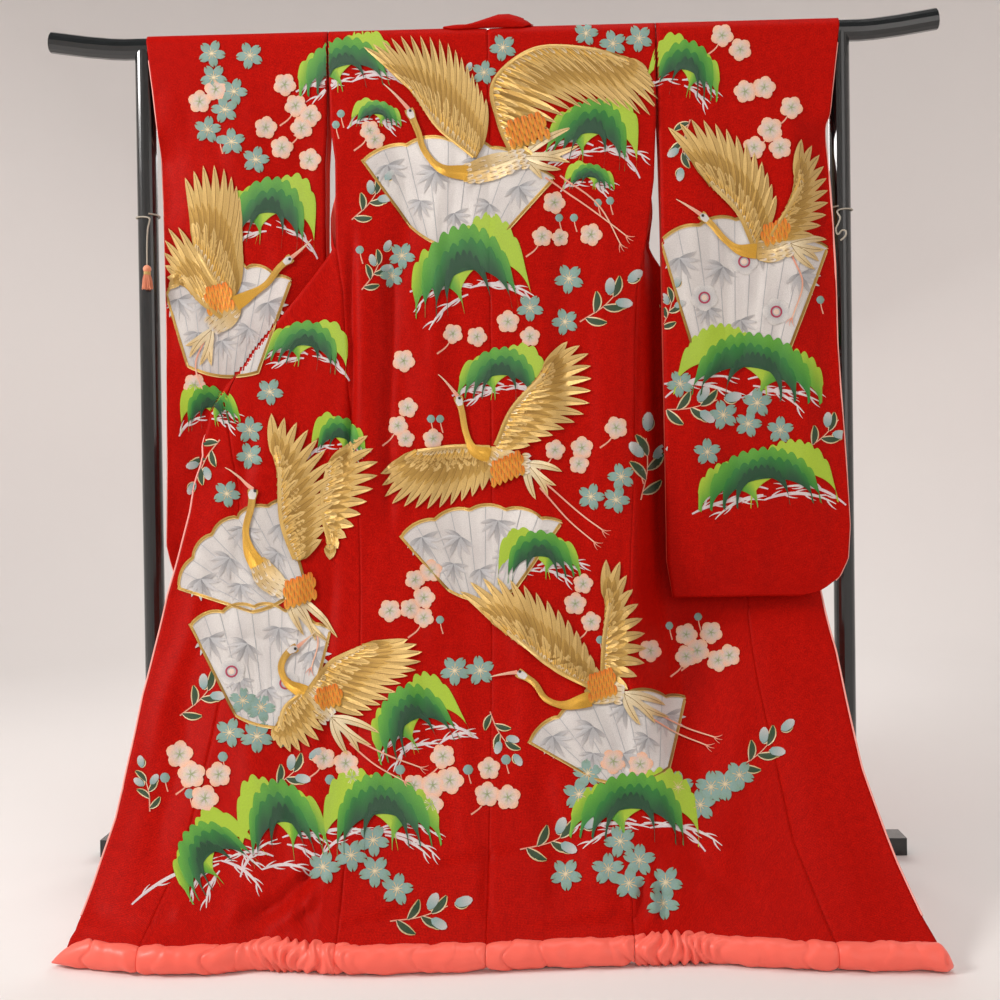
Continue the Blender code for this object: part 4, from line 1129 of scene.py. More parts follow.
def roundBud(work, x, y, size, tone="mist", base=0.35):
    q = np.linspace(0, 1, 7)
    work.strip(bow((x - size, y), (x + size, y), 0, 7), size * np.sqrt(np.maximum(0.02, 1 - (2 * q - 1) ** 2)), tone,
               "sage", base, 0.7, 6)


def leafOf(work, at, turn, long, wide, base=0.35):
    tip = (at[0] + long * math.cos(turn), at[1] + long * math.sin(turn))
    q = np.linspace(0, 1, 7)
    body = np.sin(math.pi * (0.03 + 0.95 * q)) ** 0.8
    work.strip(bow(at, tip, 0.08, 7), wide * body + 0.6, "cream", "paleGold", base, 0.2, 3, 0.6)
    work.strip(bow(at, tip, 0.08, 7), wide * body * 0.8, "moss", "pine", base + 0.25, 0.4, 4)


def sprig(work, at, turn, size, base=0.8):  # a twig with pointed buds and small gold-edged leaves
    c, s = math.cos(turn), math.sin(turn)
    end = (at[0] + size * c, at[1] + size * s)
    line = twig(work, [at, ((at[0] + end[0]) / 2 - s * size * 0.06, (at[1] + end[1]) / 2 + c * size * 0.06), end],
                0.7, "pink", base)
    for k, side in enumerate((1, -1, 1, -1)):
        p = line[int(len(line) * (0.12 + 0.2 * k))]
        leafOf(work, p, turn + side * (0.9 - 0.1 * k), size * 0.38, size * 0.07, base)
    for p, a in ((line[-1], turn), (line[int(len(line) * 0.6)], turn + 0.8),
                 (line[int(len(line) * 0.6)], turn - 0.8)):
        a2 = (p[0] + size * 0.12 * math.cos(a), p[1] + size * 0.12 * math.sin(a))
        leafOf(work, a2, a - 0.35, size * 0.22, size * 0.05, base)
        leafOf(work, a2, a + 0.35, size * 0.22, size * 0.05, base)
        petal(work, a2, a, size * 0.30, size * 0.085, "mist", "pearl", base + 0.5)


# Cranes: neck from body to head, bill tip, body, wings as arm, tips, number and width of feathers, bow
cranes = [
    dict(neck=[(468, 174), (442, 170), (425, 152), (418, 132), (409, 110)], bill=(384, 85),
         body=[(462, 176), (492, 168), (522, 158)],
         wings=[([(512, 156), (498, 122), (494, 82), (534, 50), (590, 50), (624, 62)],
                 [(530, 166), (548, 134), (570, 112), (606, 106), (650, 116), (658, 96), (648, 72)], 21, 5.4, -0.05),
                ([(474, 158), (438, 128), (414, 92)], [(486, 100), (467, 66), (444, 42), (404, 37), (364, 48)], 17,
                 5.0, 0.05)],
         tails=[(542, 180), (561, 170), (570, 163), (579, 146), (573, 128)],
         patch=[(((506, 122), (540, 112)), (0.3, 1), 4, 5, 11)],
         legs=[((545, 178), (590, 209), (626, 236)), ((560, 176), (598, 205), (620, 244))]),
    dict(neck=[(236, 304), (250, 296), (268, 284), (280, 268), (292, 258)], bill=(312, 240),
         body=[(238, 304), (226, 316), (212, 330)],
         wings=[([(230, 300), (214, 280), (198, 252)], [(240, 240), (240, 196), (226, 170), (204, 166), (186, 178)],
                 12, 6.5, 0.05),
                ([(222, 318), (200, 300), (184, 276)], [(190, 250), (178, 226), (168, 232), (165, 258), (170, 290)],
                 9, 6.0, 0.05)],
         tails=[(186, 346), (190, 358), (200, 366), (212, 366)],
         patch=[(((206, 288), (228, 282)), (0.2, 1), 4, 4, 11)],
         legs=[((206, 338), (196, 366), (206, 398))]),
    dict(neck=[(756, 252), (738, 250), (724, 240), (712, 226), (700, 215)], bill=(676, 200),
         body=[(754, 252), (772, 250), (790, 244)],
         wings=[([(752, 244), (738, 214), (712, 186)], [(776, 196), (760, 160), (730, 132), (696, 120), (668, 128)],
                 13, 6.5, 0.05),
                ([(768, 240), (786, 212), (800, 186)], [(812, 236), (826, 214), (826, 180), (816, 152), (800, 140)],
                 10, 6.0, -0.05)],
         tails=[(818, 262), (824, 250), (826, 240), (814, 270)],
         patch=[(((762, 226), (786, 218)), (0.1, 1), 3, 4, 11)],
         legs=[((792, 256), (802, 284), (792, 318))]),
    dict(neck=[(258, 566), (250, 550), (247, 530), (252, 508), (254, 490)], bill=(226, 468),
         body=[(258, 560), (268, 578), (288, 592)],
         wings=[([(330, 545), (322, 506), (328, 470)], [(330, 560), (352, 530), (368, 500), (378, 468), (368, 436)],
                 11, 6.5, -0.04),
                ([(296, 560), (282, 520), (280, 462)], [(322, 540), (336, 500), (332, 462), (306, 428), (272, 414)],
                 13, 6.5, -0.04)],
         tails=[(338, 638), (330, 644), (316, 642), (304, 636)],
         patch=[(((286, 582), (312, 572)), (0.1, 1), 4, 5, 11)],
         legs=[((306, 612), (318, 640), (312, 668))]),
    dict(neck=[(306, 694), (288, 684), (282, 668), (288, 654), (297, 648)], bill=(316, 632),
         body=[(304, 692), (316, 704), (332, 718)],
         wings=[([(310, 690), (330, 664), (362, 648)],
                 [(364, 716), (392, 698), (404, 680), (418, 668), (422, 650), (408, 640)], 12, 6.5, 0.04),
                ([(300, 696), (286, 708), (280, 728)], [(326, 722), (318, 742), (302, 752), (286, 752), (274, 742)],
                 8, 6.0, 0.05)],
         tails=[(360, 754), (372, 746), (380, 734), (348, 756)],
         patch=[(((316, 690), (338, 684)), (0.2, 1), 3, 4, 11)],
         legs=[((356, 740), (388, 756), (420, 768)), ((350, 744), (376, 766), (404, 782))]),
    dict(neck=[(490, 456), (474, 450), (466, 432), (462, 412), (458, 397)], bill=(438, 375),
         body=[(488, 452), (504, 462), (526, 464)],
         wings=[([(490, 448), (456, 447), (418, 452)],
                 [(492, 484), (470, 498), (440, 508), (412, 508), (386, 500), (380, 474)], 13, 6.5, -0.04),
                ([(496, 446), (512, 410), (544, 376)],
                 [(530, 446), (560, 432), (586, 412), (592, 384), (588, 352), (568, 342)], 13, 6.5, -0.05)],
         tails=[(562, 472), (556, 486), (548, 496), (536, 500)],
         patch=[(((492, 462), (520, 450)), (0.1, 1), 4, 5, 10)],
         legs=[((540, 488), (568, 520), (594, 542)), ((546, 484), (578, 512), (602, 530))]),
    dict(neck=[(590, 700), (566, 706), (546, 700), (534, 684), (518, 673)], bill=(490, 678),
         body=[(586, 698), (604, 692), (624, 694)],
         wings=[([(602, 676), (604, 640), (610, 604)],
                 [(628, 690), (644, 660), (642, 626), (634, 596), (620, 562), (606, 560)], 11, 6.5, -0.04),
                ([(592, 690), (552, 668), (510, 634)],
                 [(596, 668), (578, 634), (548, 602), (510, 580), (476, 580), (460, 592)], 14, 6.5, 0.05)],
         tails=[(664, 706), (668, 718), (654, 724), (640, 726)],
         patch=[(((588, 676), (612, 668)), (0.1, 1), 4, 5, 11)],
         legs=[((652, 712), (684, 728), (714, 738)), ((646, 716), (676, 734), (706, 746))])]
# Fans: outer left, outer right, inner right, inner left, outer and inner bow, ring blossoms on them
fans = [((362, 160), (552, 180), (500, 238), (410, 226), 0.16, 0.18, []),
        ((166, 292), (290, 282), (258, 372), (188, 366), 0.18, 0.10, []),
        ((660, 240), (826, 250), (788, 352), (694, 352), 0.16, 0.12, [(704, 298), (776, 312), (744, 262)]),
        ((178, 588), (284, 502), (304, 580), (252, 612), 0.16, 0.10, []),
        ((190, 624), (330, 632), (306, 722), (236, 716), 0.16, 0.12, [(232, 672), (286, 684)]),
        ((400, 536), (560, 524), (516, 588), (448, 590), 0.14, 0.16, []),
        ((528, 742), (684, 700), (668, 768), (592, 778), 0.16, 0.14, [])]
# Pine clouds: middle, width, height, tilt
pines = [(348, 58, 97, 45, -8), (375, 111, 48, 22, 0), (598, 125, 88, 56, 10), (588, 174, 48, 22, 0),
         (470, 258, 112, 74, -6), (684, 62, 70, 48, 8), (276, 204, 88, 58, 10), (206, 402, 56, 36, -10),
         (312, 340, 78, 40, 12), (337, 432, 52, 34, 0), (506, 368, 85, 45, 4), (535, 550, 78, 42, -6),
         (414, 710, 90, 58, -18), (376, 804, 113, 66, -6), (208, 846, 84, 56, -34), (276, 812, 84, 70, -12),
         (639, 800, 122, 58, 4), (748, 358, 139, 56, 4), (768, 470, 131, 50, -4)]
# Plum blossoms, cherry blossoms and round buds: place and size
plums = [(310, 116, 9), (310, 160, 9), (285, 85, 9), (370, 131, 8), (375, 140, 8), (554, 203, 9), (542, 237, 8),
         (560, 238, 7), (591, 235, 9),
         (453, 334, 8), (477, 337, 8), (508, 322, 9), (530, 337, 8), (404, 361, 9), (408, 408, 8), (398, 426, 8),
         (406, 439, 7),
         (433, 439, 8), (555, 450, 8), (582, 448, 9), (579, 464, 8), (616, 428, 9), (431, 571, 9), (415, 580, 8),
         (424, 598, 9),
         (390, 611, 9), (410, 609, 8), (424, 618, 8), (583, 584, 8), (575, 604, 9), (591, 622, 8), (195, 385, 9),
         (180, 755, 11),
         (192, 775, 11), (219, 775, 10), (205, 799, 11), (324, 759, 9), (346, 764, 10), (353, 778, 10),
         (443, 757, 10), (450, 781, 11),
         (433, 786, 10), (414, 786, 9), (431, 805, 10), (489, 769, 9), (487, 795, 10), (508, 798, 10), (613, 762, 10),
         (640, 765, 10),
         (686, 635, 9), (711, 633, 9), (697, 651, 10), (729, 656, 9), (649, 651, 9), (686, 657, 9), (718, 661, 9),
         (740, 50, 9),
         (770, 130, 10), (216, 90, 9), (200, 102, 9), (722, 36, 9), (745, 92, 9), (764, 88, 9),
         (791, 108, 9), (754, 148, 9), (780, 148, 9), (296, 106, 9), (266, 128, 9), (282, 148, 9), (302, 128, 9)]
cherries = [(503, 48, 10), (484, 73, 9), (613, 44, 10), (586, 34, 9), (639, 39, 10), (225, 110, 10), (402, 256, 10),
            (392, 276, 9),
            (530, 308, 10), (569, 279, 11), (565, 322, 10), (250, 430, 10), (250, 456, 10), (270, 392, 10),
            (227, 494, 10),
            (621, 477, 10), (591, 497, 10), (616, 500, 10), (455, 671, 11), (480, 671, 11), (680, 384, 10),
            (723, 415, 11),
            (757, 403, 11), (748, 424, 10), (780, 430, 10), (707, 452, 10), (230, 733, 11), (257, 737, 12),
            (286, 733, 11),
            (261, 708, 11), (243, 701, 10), (373, 841, 12), (351, 856, 12), (375, 872, 12), (397, 890, 12),
            (324, 868, 12),
            (588, 774, 11), (579, 795, 12), (620, 842, 12), (566, 875, 12), (608, 870, 12), (639, 861, 12),
            (629, 884, 12),
            (666, 883, 12), (725, 785, 12), (739, 776, 11), (711, 788, 12), (700, 806, 12), (677, 788, 12),
            (663, 904, 12),
            (212, 54, 10), (214, 78, 10), (234, 92, 10), (250, 56, 10), (208, 130, 10), (232, 142, 10),
            (256, 160, 10)]
buds = [(341, 114, 4), (336, 125, 4), (598, 203, 4), (610, 201, 4), (559, 218, 4), (574, 218, 4), (431, 419, 4),
        (440, 419, 4),
        (165, 778, 5), (190, 794, 5), (223, 757, 5), (698, 617, 4), (669, 626, 4), (360, 250, 4), (640, 470, 4),
        (506, 760, 5),
        (468, 770, 5), (400, 770, 5), (330, 780, 5), (600, 640, 4), (440, 620, 4), (820, 300, 4), (220, 140, 4)]
# Bud sprigs: foot, direction in degrees, length
sprigs = [((352, 220), -50, 46), ((362, 290), -60, 40), ((580, 322), -40, 56), ((640, 500), -85, 62),
          ((180, 716), -45, 52),
          ((262, 792), -35, 52), ((390, 922), -15, 60), ((660, 410), -10, 58), ((800, 452), -40, 50),
          ((735, 770), -40, 54),
          ((150, 812), -100, 40), ((490, 712), 60, 44), ((660, 330), -70, 40), ((560, 640), 200, 44),
          ((220, 440), 120, 44),
          ((690, 120), 100, 44), ((450, 100), -60, 30), ((340, 700), -70, 30), ((520, 850), -20, 60)]
# Long pine branches under the clouds, from the foot to the tip
branches = [((132, 905), (221, 861), (262, 892)), ((200, 836), (262, 870), (312, 872)),
            ((306, 838), (372, 832), (440, 860)),
            ((664, 384), (742, 398), (820, 402)), ((692, 514), (764, 500), (836, 504)),
            ((580, 830), (650, 828), (722, 846)),
            ((400, 752), (440, 744), (476, 734)), ((410, 292), (470, 288), (534, 296)),
            ((296, 92), (352, 82), (404, 80)),
            ((486, 578), (540, 572), (590, 566)), ((548, 164), (600, 152), (650, 160)),
            ((452, 396), (506, 390), (560, 398))]


def drawCranes(work):
    for bird in cranes:
        crane(work, base=2.4, **bird)


def drawFans(work):
    for one in fans:
        fan(work, *one)


def drawPines(work):
    for k, (x, y, w, h, tilt) in enumerate(pines):
        pineCloud(work, x, y, w, h, tilt, k)
    for k, (a, b, c) in enumerate(branches):
        branchStroke(work, a, b, -0.08, 1.5, 5)
        branchStroke(work, b, c, -0.12, 1.4, 6)


def drawSprigs(work):
    for at, turn, size in sprigs:
        sprig(work, at, math.radians(turn), size)
    for x, y, size in buds:
        twig(work, [(x + 3, y + 14), (x + 1, y + 7), (x, y)], 0.7)
        roundBud(work, x, y, size)
    for x, y, size in plums[::3]:
        twig(work, [(x - 16, y + 20), (x - 6, y + 12), (x, y)], 0.9)


# Everything in pixels is laid on the cloth by a ray from the eye; the same is done from behind for the far side
layRule = Rule("lay_on_cloth", Cloth="object", Eye=(0.0, 0.0, 0.0), Right=(1.0, 0.0, 0.0), Up=(0.0, 0.0, 1.0),
               Ahead=(0.0, 1.0, 0.0), Focal=1000.0, MiddleX=500.0, MiddleY=500.0, Wall=0.0, Jump=0.03)


def writeLayRule(r):
    spot = r.node("GeometryNodeInputPosition")
    px, py = (r.node("SeparateXYZ", None, {0: spot}, k) for k in (0, 1))
    sideways = r.scaled(r.given("Right"), (px - r.given("MiddleX")) / r.given("Focal"))
    upward = r.scaled(r.given("Up"), (r.given("MiddleY") - py) / r.given("Focal"))
    way = r.vector("ADD", r.vector("ADD", sideways, upward), r.given("Ahead"))
    cloth = r.node("GeometryNodeObjectInfo", None, {"Object": r.given("Cloth")}, "Geometry")
    rays = r.tree.nodes.new("GeometryNodeRaycast")
    rays.data_type = "FLOAT_VECTOR"
    for key, value in {"Target Geometry": cloth, "Attribute": r.node("GeometryNodeInputNormal"),
                       "Source Position": r.given("Eye"), "Ray Direction": way, "Ray Length": 8.0}.items():
        r.put(rays.inputs[key], value)
    hit, place, normal = (Wire(r, rays.outputs[key]) for key in ("Is Hit", "Hit Position", "Attribute"))
    away = r.vector("DOT_PRODUCT", normal, way, out=1)
    outer = r.node("FunctionNodeCompare", dict(data_type="FLOAT", operation="LESS_THAN"), {0: away, 1: 0.0})
    good = r.node("FunctionNodeBooleanMath", dict(operation="AND"), {0: hit, 1: outer})
    high = r.node("GeometryNodeInputNamedAttribute", dict(data_type="FLOAT"), {"Name": "rise"})
    lift = high * 0.001 + r.given("Wall")
    kept = r.node("GeometryNodeDeleteGeometry", dict(domain="POINT"),
                  {0: r.given("Geometry"), 1: r.node("FunctionNodeBooleanMath", dict(operation="NOT"), {0: good})})
    laid = r.node("GeometryNodeSetPosition", None,
                  {0: kept, "Position": r.vector("ADD", place, r.scaled(r.vector("NORMALIZE", normal), lift))})
    ends = [r.node("GeometryNodeInputMeshEdgeVertices", None, None, k) for k in (2, 3)]
    torn = r.node("FunctionNodeCompare", dict(data_type="FLOAT", operation="GREATER_THAN"),
                  {0: r.vector("DISTANCE", *ends, out=1), 1: r.given("Jump")})
    r.end(r.node("GeometryNodeDeleteGeometry", dict(domain="EDGE", mode="EDGE_FACE"), {0: laid, 1: torn}))


writeLayRule(layRule)
# Repeated blossoms stand on points that carry their turn and size
strewRule = Rule("strew_blossoms", Blossom="object")


def writeStrewRule(r):
    blossom = r.node("GeometryNodeObjectInfo", None, {"Object": r.given("Blossom")}, "Geometry")
    turn, size = (r.node("GeometryNodeInputNamedAttribute", dict(data_type="FLOAT"), {"Name": name})
                  for name in ("turn", "size"))
    spots = r.node("GeometryNodeMeshToPoints", None, {0: r.given("Geometry")})
    r.end(r.node("GeometryNodeInstanceOnPoints", None, {"Points": spots, "Instance": blossom, "Scale": size,
                                                        "Rotation": r.node("CombineXYZ", None, {2: turn})}))


writeStrewRule(strewRule)


def drawn(name, work):  # the strips as an object, still flat and in pixels
    piece = loose(name, work.points, (), work.faces)
    mesh = piece.data
    for key, kind, field, values in (("rise", "FLOAT", "value", work.rises), ("shine", "FLOAT", "value", work.shines),
                                     ("thread", "FLOAT_VECTOR", "vector", work.colours)):
        mesh.attributes.new(key, kind, "POINT").data.foreach_set(field, np.array(values, float).ravel())
    layMap(mesh, "stitch", work.stitches)
    return piece


def strewn(name, pattern, places, usual):
    work = Needlework()
    pattern(work)
    blossom = drawn(name + "_pattern", work)
    spots = loose(name, [(x, y, 0.0) for x, y, size in places])
    for key, values in (("turn", [(x * 0.37 + y * 0.71) % 6.283 for x, y, size in places]),
                        ("size", [1.28 * size / usual for x, y, size in places])):
        spots.data.attributes.new(key, "FLOAT", "POINT").data.foreach_set("value", values)
    strewRule.follow(spots, Blossom=blossom, Material=stitched)
    bpy.data.objects.remove(blossom)
    return spots


def joined(name, pieces):
    bpy.ops.object.select_all(action="DESELECT")
    for piece in pieces:
        piece.select_set(True)
    bpy.context.view_layer.objects.active = pieces[0]
    bpy.ops.object.join()
    pieces[0].name = pieces[0].data.name = name
    return pieces[0]


clothPieces = [bodyLeft, bodyRight, okumiLeft, okumiRight, sleeveLeft, sleeveRight, collar]


def bareCloth():  # the cloth without its thickness, for the rays to meet
    copies = []
    for piece in clothPieces:
        copy = bpy.data.objects.new(piece.name + "_bare", piece.data.copy())
        bpy.context.scene.collection.objects.link(copy)
        copies.append(copy)
    return joined("bare_cloth", copies)


bare = bareCloth()
nearEye = dict(Eye=tuple(eye), Right=tuple(right), Up=tuple(up), Ahead=tuple(ahead))
farEye = dict(Eye=(0.0, postLine + 2.6, 0.78), Right=(-1.0, 0.0, 0.0), Up=(0.0, 0.0, 1.0), Ahead=(0.0, -1.0, 0.0))


def embroider(name, pieces, seen=nearEye):
    piece = pieces[0] if len(pieces) == 1 else joined(name, pieces)
    layRule.follow(piece, Cloth=bare, Focal=view["focal"], MiddleX=view["middle"][0], MiddleY=view["middle"][1],
                   Wall=gown["wall"] / 2, Material=stitched, **seen)
    piece.name = piece.data.name = name
    return sewn(piece, "silk")


def needlework(draw):
    work = Needlework()
    draw(work)
    return drawn(draw.__name__, work)


embroidery = []
for name, draw in (("fans", drawFans), ("pines", drawPines), ("cranes", drawCranes), ("sprigs", drawSprigs)):
    embroidery.append(embroider(name, [needlework(draw)]))
    print(name, len(embroidery[-1].data.polygons), "stitched faces")
blossoms = [strewn("plum_blossoms", plumBlossom, plums, 9.0),
            strewn("cherry_blossoms", cherryBlossom, cherries, 10.0)]
embroidery.append(embroider("blossoms", blossoms))
print("near side embroidered")
behind = [needlework(drawFans), needlework(drawPines), needlework(drawSprigs), needlework(drawCranes)]
behind += [strewn("plum_again", plumBlossom, plums, 9.0), strewn("cherry_again", cherryBlossom, cherries, 10.0)]
embroidery.append(embroider("far_side_embroidery", behind, farEye))
print("far side embroidered")
bpy.data.objects.remove(bare)

# Piping along the sleeves' outer edges and the free edges of the fronts
pipeRule = Rule("piping", Radius=0.0018, Step=0.004)


def writePipeRule(r):
    line = r.node("GeometryNodeMeshToCurve", None, {0: r.given("Geometry")})
    line = r.node("GeometryNodeResampleCurve", dict(mode="LENGTH"), {"Curve": line, "Length": r.given("Step")})
    ring = r.node("GeometryNodeCurvePrimitiveCircle", dict(mode="RADIUS"),
                  {"Resolution": 10, "Radius": r.given("Radius")})
    r.end(r.node("GeometryNodeCurveToMesh", None, {"Curve": line, "Profile Curve": ring, "Fill Caps": True}))


writePipeRule(pipeRule)


def piping(name, line, radius=0.0018):
    piece = loose(name, [(x, postLine - d, z) for x, d, z in line], [(k, k + 1) for k in range(len(line) - 1)])
    pipeRule.follow(piece, Radius=radius, Step=0.004, Material=pipingSatin)
    return sewn(piece, "satin")


def sleeveEdgeLine(side):
    zs = heights(0.515, 1.500, 0.01)
    return [(side * (float(along(sleeveEdge[side], z)) + 0.0008), float(along(sleeveDepth[side], z)) + 0.85
             * float(along(sleeveDepth[side], z, 2)) * float(ease((z - gown["wrist"] + 0.03) / 0.07)), z) for z in zs]


def frontEdgeLine(side):
    line = []
    for z in heights(0.060, gown["collarTip"] - 0.004, 0.008):
        x, d, h = frontRow(side, z, np.array([panelWidth(side, z, 2)]))[0]
        line.append((x + side * 0.0006, d, h))
    return line


pipes = {}
for side, word in ((-1, "left"), (1, "right")):
    pipes[word] = piping("sleevePiping_" + word, sleeveEdgeLine(side)), piping("frontPiping_" + word,
                                                                               frontEdgeLine(side))

# The cut of what shows: width, length and area of each piece's cloth, and what holds it
cuts = [(bodyLeft, 0.31, 3.02, 0.82, "draped", ["stand_top_bar"]),
        (bodyRight, 0.32, 3.02, 0.86, "draped", ["stand_top_bar"]),
        (okumiLeft, 0.15, 1.28, 0.14, "hung", [bodyLeft]), (okumiRight, 0.16, 1.28, 0.155, "hung", [bodyRight]),
        (sleeveLeft, 0.34, 2.14, 0.69, "draped", ["stand_top_bar"]),
        (sleeveRight, 0.34, 2.14, 0.70, "draped", ["stand_top_bar"]),
        (collar, 0.052, 1.56, 0.08, "draped", ["stand_top_bar"])]
edges = {okumiLeft.name: [pipes["left"][1]], okumiRight.name: [pipes["right"][1]],
         sleeveLeft.name: [pipes["left"][0]], sleeveRight.name: [pipes["right"][0]]}
for cloth, wide, long, area, held, rest in cuts:
    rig.sheet(cloth, flat=(wide, long), area=area, held=held, rests_on=rest, with_pieces=edges.get(cloth.name, []))
print("piping sewn")


hemRoll = dict(radius=0.0195, step=0.0018, around=48, gatherRise=0.0042, plainRise=0.0014)


def rollPoints(low, high, tipLow, tipHigh):
    radius = hemRoll["radius"]
    xs = np.linspace(low, high, round((high - low) / hemRoll["step"]) + 1)
    d0 = along(hemLine, xs)
    d0 = np.convolve(np.pad(d0, 9, "edge"), np.ones(19) / 19, "valid") if len(xs) > 19 else d0
    slope = np.gradient(d0, xs)
    points = []
    for x, d, s in zip(xs, d0, slope):
        fromLow, fromHigh = x - low, high - x
        seam = 1 - 0.16 * math.exp(-min(fromLow, fromHigh) / 0.006)
        tip = 1.0
        if tipLow:
            tip = min(tip, max(0.05, math.sin(math.pi / 2 * min(1.0, (fromLow + 0.001) / 0.055))) ** 0.8)
        if tipHigh:
            tip = min(tip, max(0.05, math.sin(math.pi / 2 * min(1.0, (fromHigh + 0.001) / 0.022))) ** 0.7)
        gather = max(math.exp(-((x - m) / w) ** 4) for m, w in gathers)
        length = math.hypot(1, s)
        for j in range(hemRoll["around"]):
            a = 2 * math.pi * j / hemRoll["around"]
            skew = 0.010 * math.sin(a + 1.3) + 0.006 * math.sin(2 * a + x * 60)
            u = x + skew
            lean = u + 0.006 * math.sin(a - 0.6) * math.sin(u * 33)
            pleat = abs(math.sin(lean * 190 + 2.2 * math.sin(lean * 41))) ** 0.7 * 1.5 - 0.9
            pleat += 0.45 * math.sin(lean * 430 + 2.0 * math.sin(a * 2 + u * 30))
            tuck = (math.exp(-((math.sin(lean * 52 + 1.7 * math.sin(u * 19))) / 0.11) ** 2)
                    * (0.6 + 0.4 * math.sin(u * 29)))
            swell = 0.5 * math.sin(u * 120 + a) + 0.6 * math.sin(u * 71 + 2 * a + 1.0) + 0.3 * math.sin(u * 230 - a)
            full = 1.0 + 0.10 * gather * (0.5 + 0.5 * math.sin(u * 55))
            r = radius * seam * tip * full * (1.0 - 0.02 * math.cos(2 * a))
            r += hemRoll["gatherRise"] * gather * pleat * tip
            r += hemRoll["plainRise"] * (swell - 2.0 * tuck) * (1 - gather) * tip
            out, rise = math.cos(a) * r, math.sin(a) * r
            centre = max(radius * 0.985 * (0.25 + 0.75 * tip), 0.004)
            if rise < 0:
                rise = max(rise, -centre)
            points.append((x + out * s / length, d + out / length, centre + rise))
    return xs, points


def rollSheet(name, node, low, high, tipLow=False, tipHigh=False):
    xs, points = rollPoints(low, high, tipLow, tipHigh)
    n, m = len(xs), hemRoll["around"]
    faces = quads(n, m, ring=True) + [tuple(range(m))[::-1], tuple((n - 1) * m + c for c in range(m))]
    piece = loose(name, [(x, postLine - d, z) for x, d, z in points], (), faces)
    mesh, bm = piece.data, bmesh.new()
    bm.from_mesh(mesh)
    bmesh.ops.recalc_face_normals(bm, faces=bm.faces)
    bm.to_mesh(mesh)
    bm.free()
    mesh.shade_smooth()
    mesh.materials.append(hemSatin)
    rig.padded(sewn(piece, "satin", node), fill=0.7)


for name in ("okumi_left", "front_left", "back_left", "back_right", "front_right", "okumi_right"):
    low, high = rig.box("hem_roll_" + name)
    rollSheet("hemRoll_" + name, "hem_roll_" + name, low.x, high.x, name == "okumi_left", name == "okumi_right")
print("hem roll padded")


# Tie cords on the posts, with their solids' own route: start angle, turns, fall, then points (across, forward, height)
tie = dict(post=0.651, ring=0.0215, radius=0.0016, plies=3, lay=0.007, step=0.002)
tieWays = {-1: (1.213, 1.2, -5.91, 0.006, [
    (0.6400, 0.0262, 1.2030), (0.6385, 0.0300, 1.1960), (0.6420, 0.0305, 1.1800), (0.6440, 0.0300, 1.1500),
    (0.6445, 0.0300, 1.1150)]), 1: (1.200, 1.97, 5.88, 0.006, [
    (0.6400, 0.0260, 1.190), (0.6370, 0.0360, 1.183), (0.6380, 0.0500, 1.172), (0.6330, 0.0560, 1.160),
    (0.6290, 0.0540, 1.150), (0.6330, 0.0520, 1.141), (0.6400, 0.0530, 1.148), (0.6460, 0.0570, 1.146),
    (0.6440, 0.0620, 1.136), (0.6350, 0.0630, 1.128)])}
twistRule = Rule("twisted_cord", Radius=0.0008, Lay=0.007, Step=0.0007)


def writeTwistRule(r):
    path = r.node("GeometryNodeMeshToCurve", None, {0: r.given("Geometry")})
    path = r.node("GeometryNodeResampleCurve", dict(mode="LENGTH"), {"Curve": path, "Length": r.given("Step")})
    run = r.node("GeometryNodeSplineParameter", None, None, "Length") / r.given("Lay") * (2 * math.pi)
    side = r.node("GeometryNodeInputNormal")
    other = r.vector("CROSS_PRODUCT", r.node("GeometryNodeInputTangent"), side)
    plies = r.tree.nodes.new("GeometryNodeJoinGeometry")
    for k in range(tie["plies"]):
        turn = run + 2 * math.pi * k / tie["plies"]
        out = r.vector("ADD", r.scaled(side, r.maths("COSINE", turn)), r.scaled(other, r.maths("SINE", turn)))
        ply = r.node("GeometryNodeSetPosition", None, {0: path, "Offset": r.scaled(out, r.given("Radius"))})
        ring = r.node("GeometryNodeCurvePrimitiveCircle", dict(mode="RADIUS"),
                      {"Resolution": 8, "Radius": r.given("Radius")})
        round_ = r.node("GeometryNodeCurveToMesh", None, {"Curve": ply, "Profile Curve": ring, "Fill Caps": True})
        r.tree.links.new(round_.socket, plies.inputs[0])
    r.end(Wire(r, plies.outputs[0]))


writeTwistRule(twistRule)


def tieCord(side, word):
    height, start, turns, drop, rest = tieWays[side]
    way = [(side * tie["post"] + tie["ring"] * math.cos(start + turns * k / 8),
            tie["ring"] * math.sin(start + turns * k / 8),
            height - drop * k / 8) for k in range(9)]
    way += [(side * x, d, z) for x, d, z in rest]
    line, gone = smooth([(x, postLine - d, z) for x, d, z in way], 16)
    long = float(gone[-1])
    line = evenly(line, gone, max(4, round(long / tie["step"])))
    piece = loose("tieCord_" + word, line, [(k, k + 1) for k in range(len(line) - 1)])
    twistRule.follow(piece, Radius=tie["radius"] / 2, Lay=tie["lay"], Step=0.0007, Material=cordYarn)
    return sewn(piece, "cord", "tie_cord_" + word), line, long


